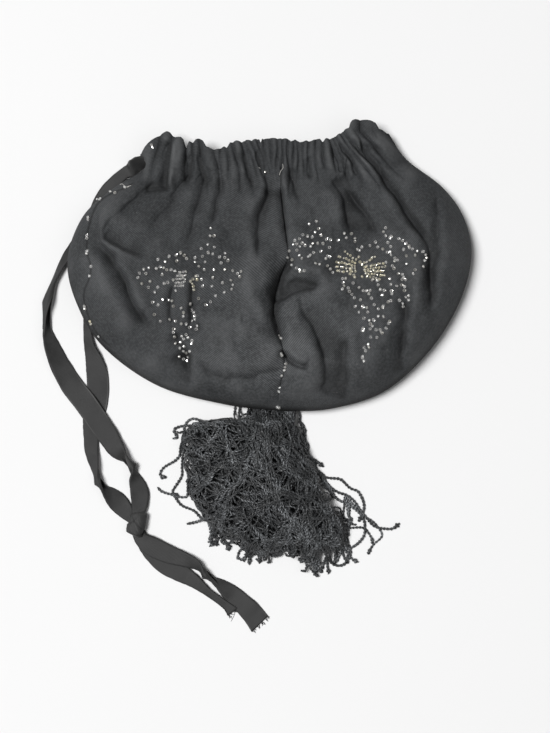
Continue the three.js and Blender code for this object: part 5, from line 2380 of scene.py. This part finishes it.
@dataclass(frozen=True)
class LooseThreads:
    """Pale ends of the thread that the beads are stitched on with, along lines of pixels."""

    view: View
    lines: tuple = (
        ((120, 184.5), (122.5, 184), (124.5, 186), (127, 186.5), (131, 185.6)),
        ((124.5, 187), (127, 187.5), (129.5, 186)),
        ((279.5, 175), (280.5, 171.5), (283, 168), (282.6, 164)),
        ((259, 167.5), (260.5, 169)),
    )
    thick: float = 0.17
    rise: float = 0.9
    step: float = 0.7
    sides: int = 5

    def build(self, cloth: BVHTree, material: Material) -> None:
        """Lay the thread ends on the cloth.

        Args:
            cloth: The front's surface.
            material: The thread's finish.
        """
        eye = Vector(self.view.eye() * MM)
        tubes = []
        for line in self.lines:
            pixels = even_path(np.array(line, float), self.step)
            hits = [cloth.ray_cast(eye, Vector(ray))[0] for ray in self.view.rays(pixels)]
            path = np.array([hit for hit in hits if hit is not None]) / MM
            path[:, 2] += self.rise * self.thick
            tubes.append(tube(path, np.full((len(path), self.sides), self.thick)))
        dress(tube_piece("loose_thread_ends", tubes, self.sides), material, "beads")


# The studio


@dataclass(frozen=True)
class Studio:
    """A plain pale floor and soft light, mostly from the upper left."""

    floor_size: float = 6.0
    key_place: Triple = (-1.8, 0.1, 4.4)
    key_size: float = 2.0
    key_power: float = 263.0
    fill_place: Triple = (0.9, -0.5, 1.6)
    fill_size: float = 1.6
    fill_power: float = 3.5
    sky: float = 0.11

    def area_light(self, name: str, place: Triple, size: float, power: float) -> None:
        """Hang one soft light, turned to the purse.

        Args:
            name: Its name.
            place: Where it hangs, in metres.
            size: Its width in metres.
            power: Its power in watts.
        """
        data = bpy.data.lights.new(name, "AREA")
        data.shape = "DISK"
        data.size = size
        data.energy = power
        lamp = bpy.data.objects.new(name, data)
        lamp.location = place
        lamp.rotation_euler = (-Vector(place)).to_track_quat("-Z", "Y").to_euler()
        bpy.context.collection.objects.link(lamp)

    def build(self) -> None:
        """Lay the floor and hang the lights."""
        deselect()
        bpy.ops.mesh.primitive_plane_add(size=self.floor_size)
        floor = bpy.context.object
        floor.name = "floor"
        floor.data.materials.append(FloorFinish().make())
        self.area_light("key_light", self.key_place, self.key_size, self.key_power)
        self.area_light("fill_light", self.fill_place, self.fill_size, self.fill_power)
        world = bpy.data.worlds.new("sky")
        world.use_nodes = True
        sky = world.node_tree.nodes["Background"]
        sky.inputs["Color"].default_value = grey(1.0)
        sky.inputs["Strength"].default_value = self.sky
        bpy.context.scene.world = world
        bpy.context.scene.view_settings.view_transform = "Standard"


def front_surface(gores: list[Piece]) -> BVHTree:
    """Join the front gores into one surface to sew beads to.

    Args:
        gores: The gores.

    Returns:
        The surface, in metres.
    """
    points, faces, count = [], [], 0
    for gore in gores:
        points += [vertex.co.copy() for vertex in gore.data.vertices]
        faces += [[corner + count for corner in face.vertices] for face in gore.data.polygons]
        count += len(gore.data.vertices)
    return BVHTree.FromPolygons(points, faces)


def main() -> None:
    """Build the purse and its studio."""
    logging.basicConfig(level=logging.INFO, format="%(name)s %(message)s")
    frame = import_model()
    view = View()
    view.build()
    Studio().build()
    twill = TwillFinish().make()
    ribbon = RibbonFinish().make()
    steel = SteelBeadFinish().make()
    knot = Knot().build(ribbon)
    Ribbon(
        name="ribbon_upper", route=UPPER_ROUTE, nodes=("ribbon_upper_strand", "ribbon_long_end"),
        length=0.36, slant=1.0, seed=31,
    ).build(ribbon, knot)
    Ribbon(
        name="ribbon_lower", route=LOWER_ROUTE, nodes=("ribbon_lower_strand", "ribbon_short_end"),
        length=0.32, slant=-0.8, seed=32,
    ).build(ribbon, knot)
    hidden_ribbon = frame["nodes"]["ribbon_in_casing"]
    hidden_ribbon.data.materials.clear()
    hidden_ribbon.data.materials.append(ribbon)
    form = BagForm(view)
    fronts = []
    for side in Side:
        front = Gore(
            form, side, is_front=True, columns=190, hem_rows=10, edge_rows=5,
            casing_rows=48, body_rows=165, flat=(0.20, 0.19), cut_area=0.030,
        )
        fronts.append(front.build(twill))
        back = Gore(
            form, side, is_front=False, columns=60, hem_rows=8, edge_rows=4,
            casing_rows=20, body_rows=60, flat=(0.19, 0.18), cut_area=0.026,
        )
        back.build(twill)
    cloth = front_surface(fronts)
    beadwork = Beadwork(view)
    for chart in BEAD_CHARTS:
        beadwork.build(chart, cloth, steel)
    LooseThreads(view).build(cloth, ThreadFinish().make())
    Tassel().build(CordFinish().make())


if __name__ == "__main__":
    main()
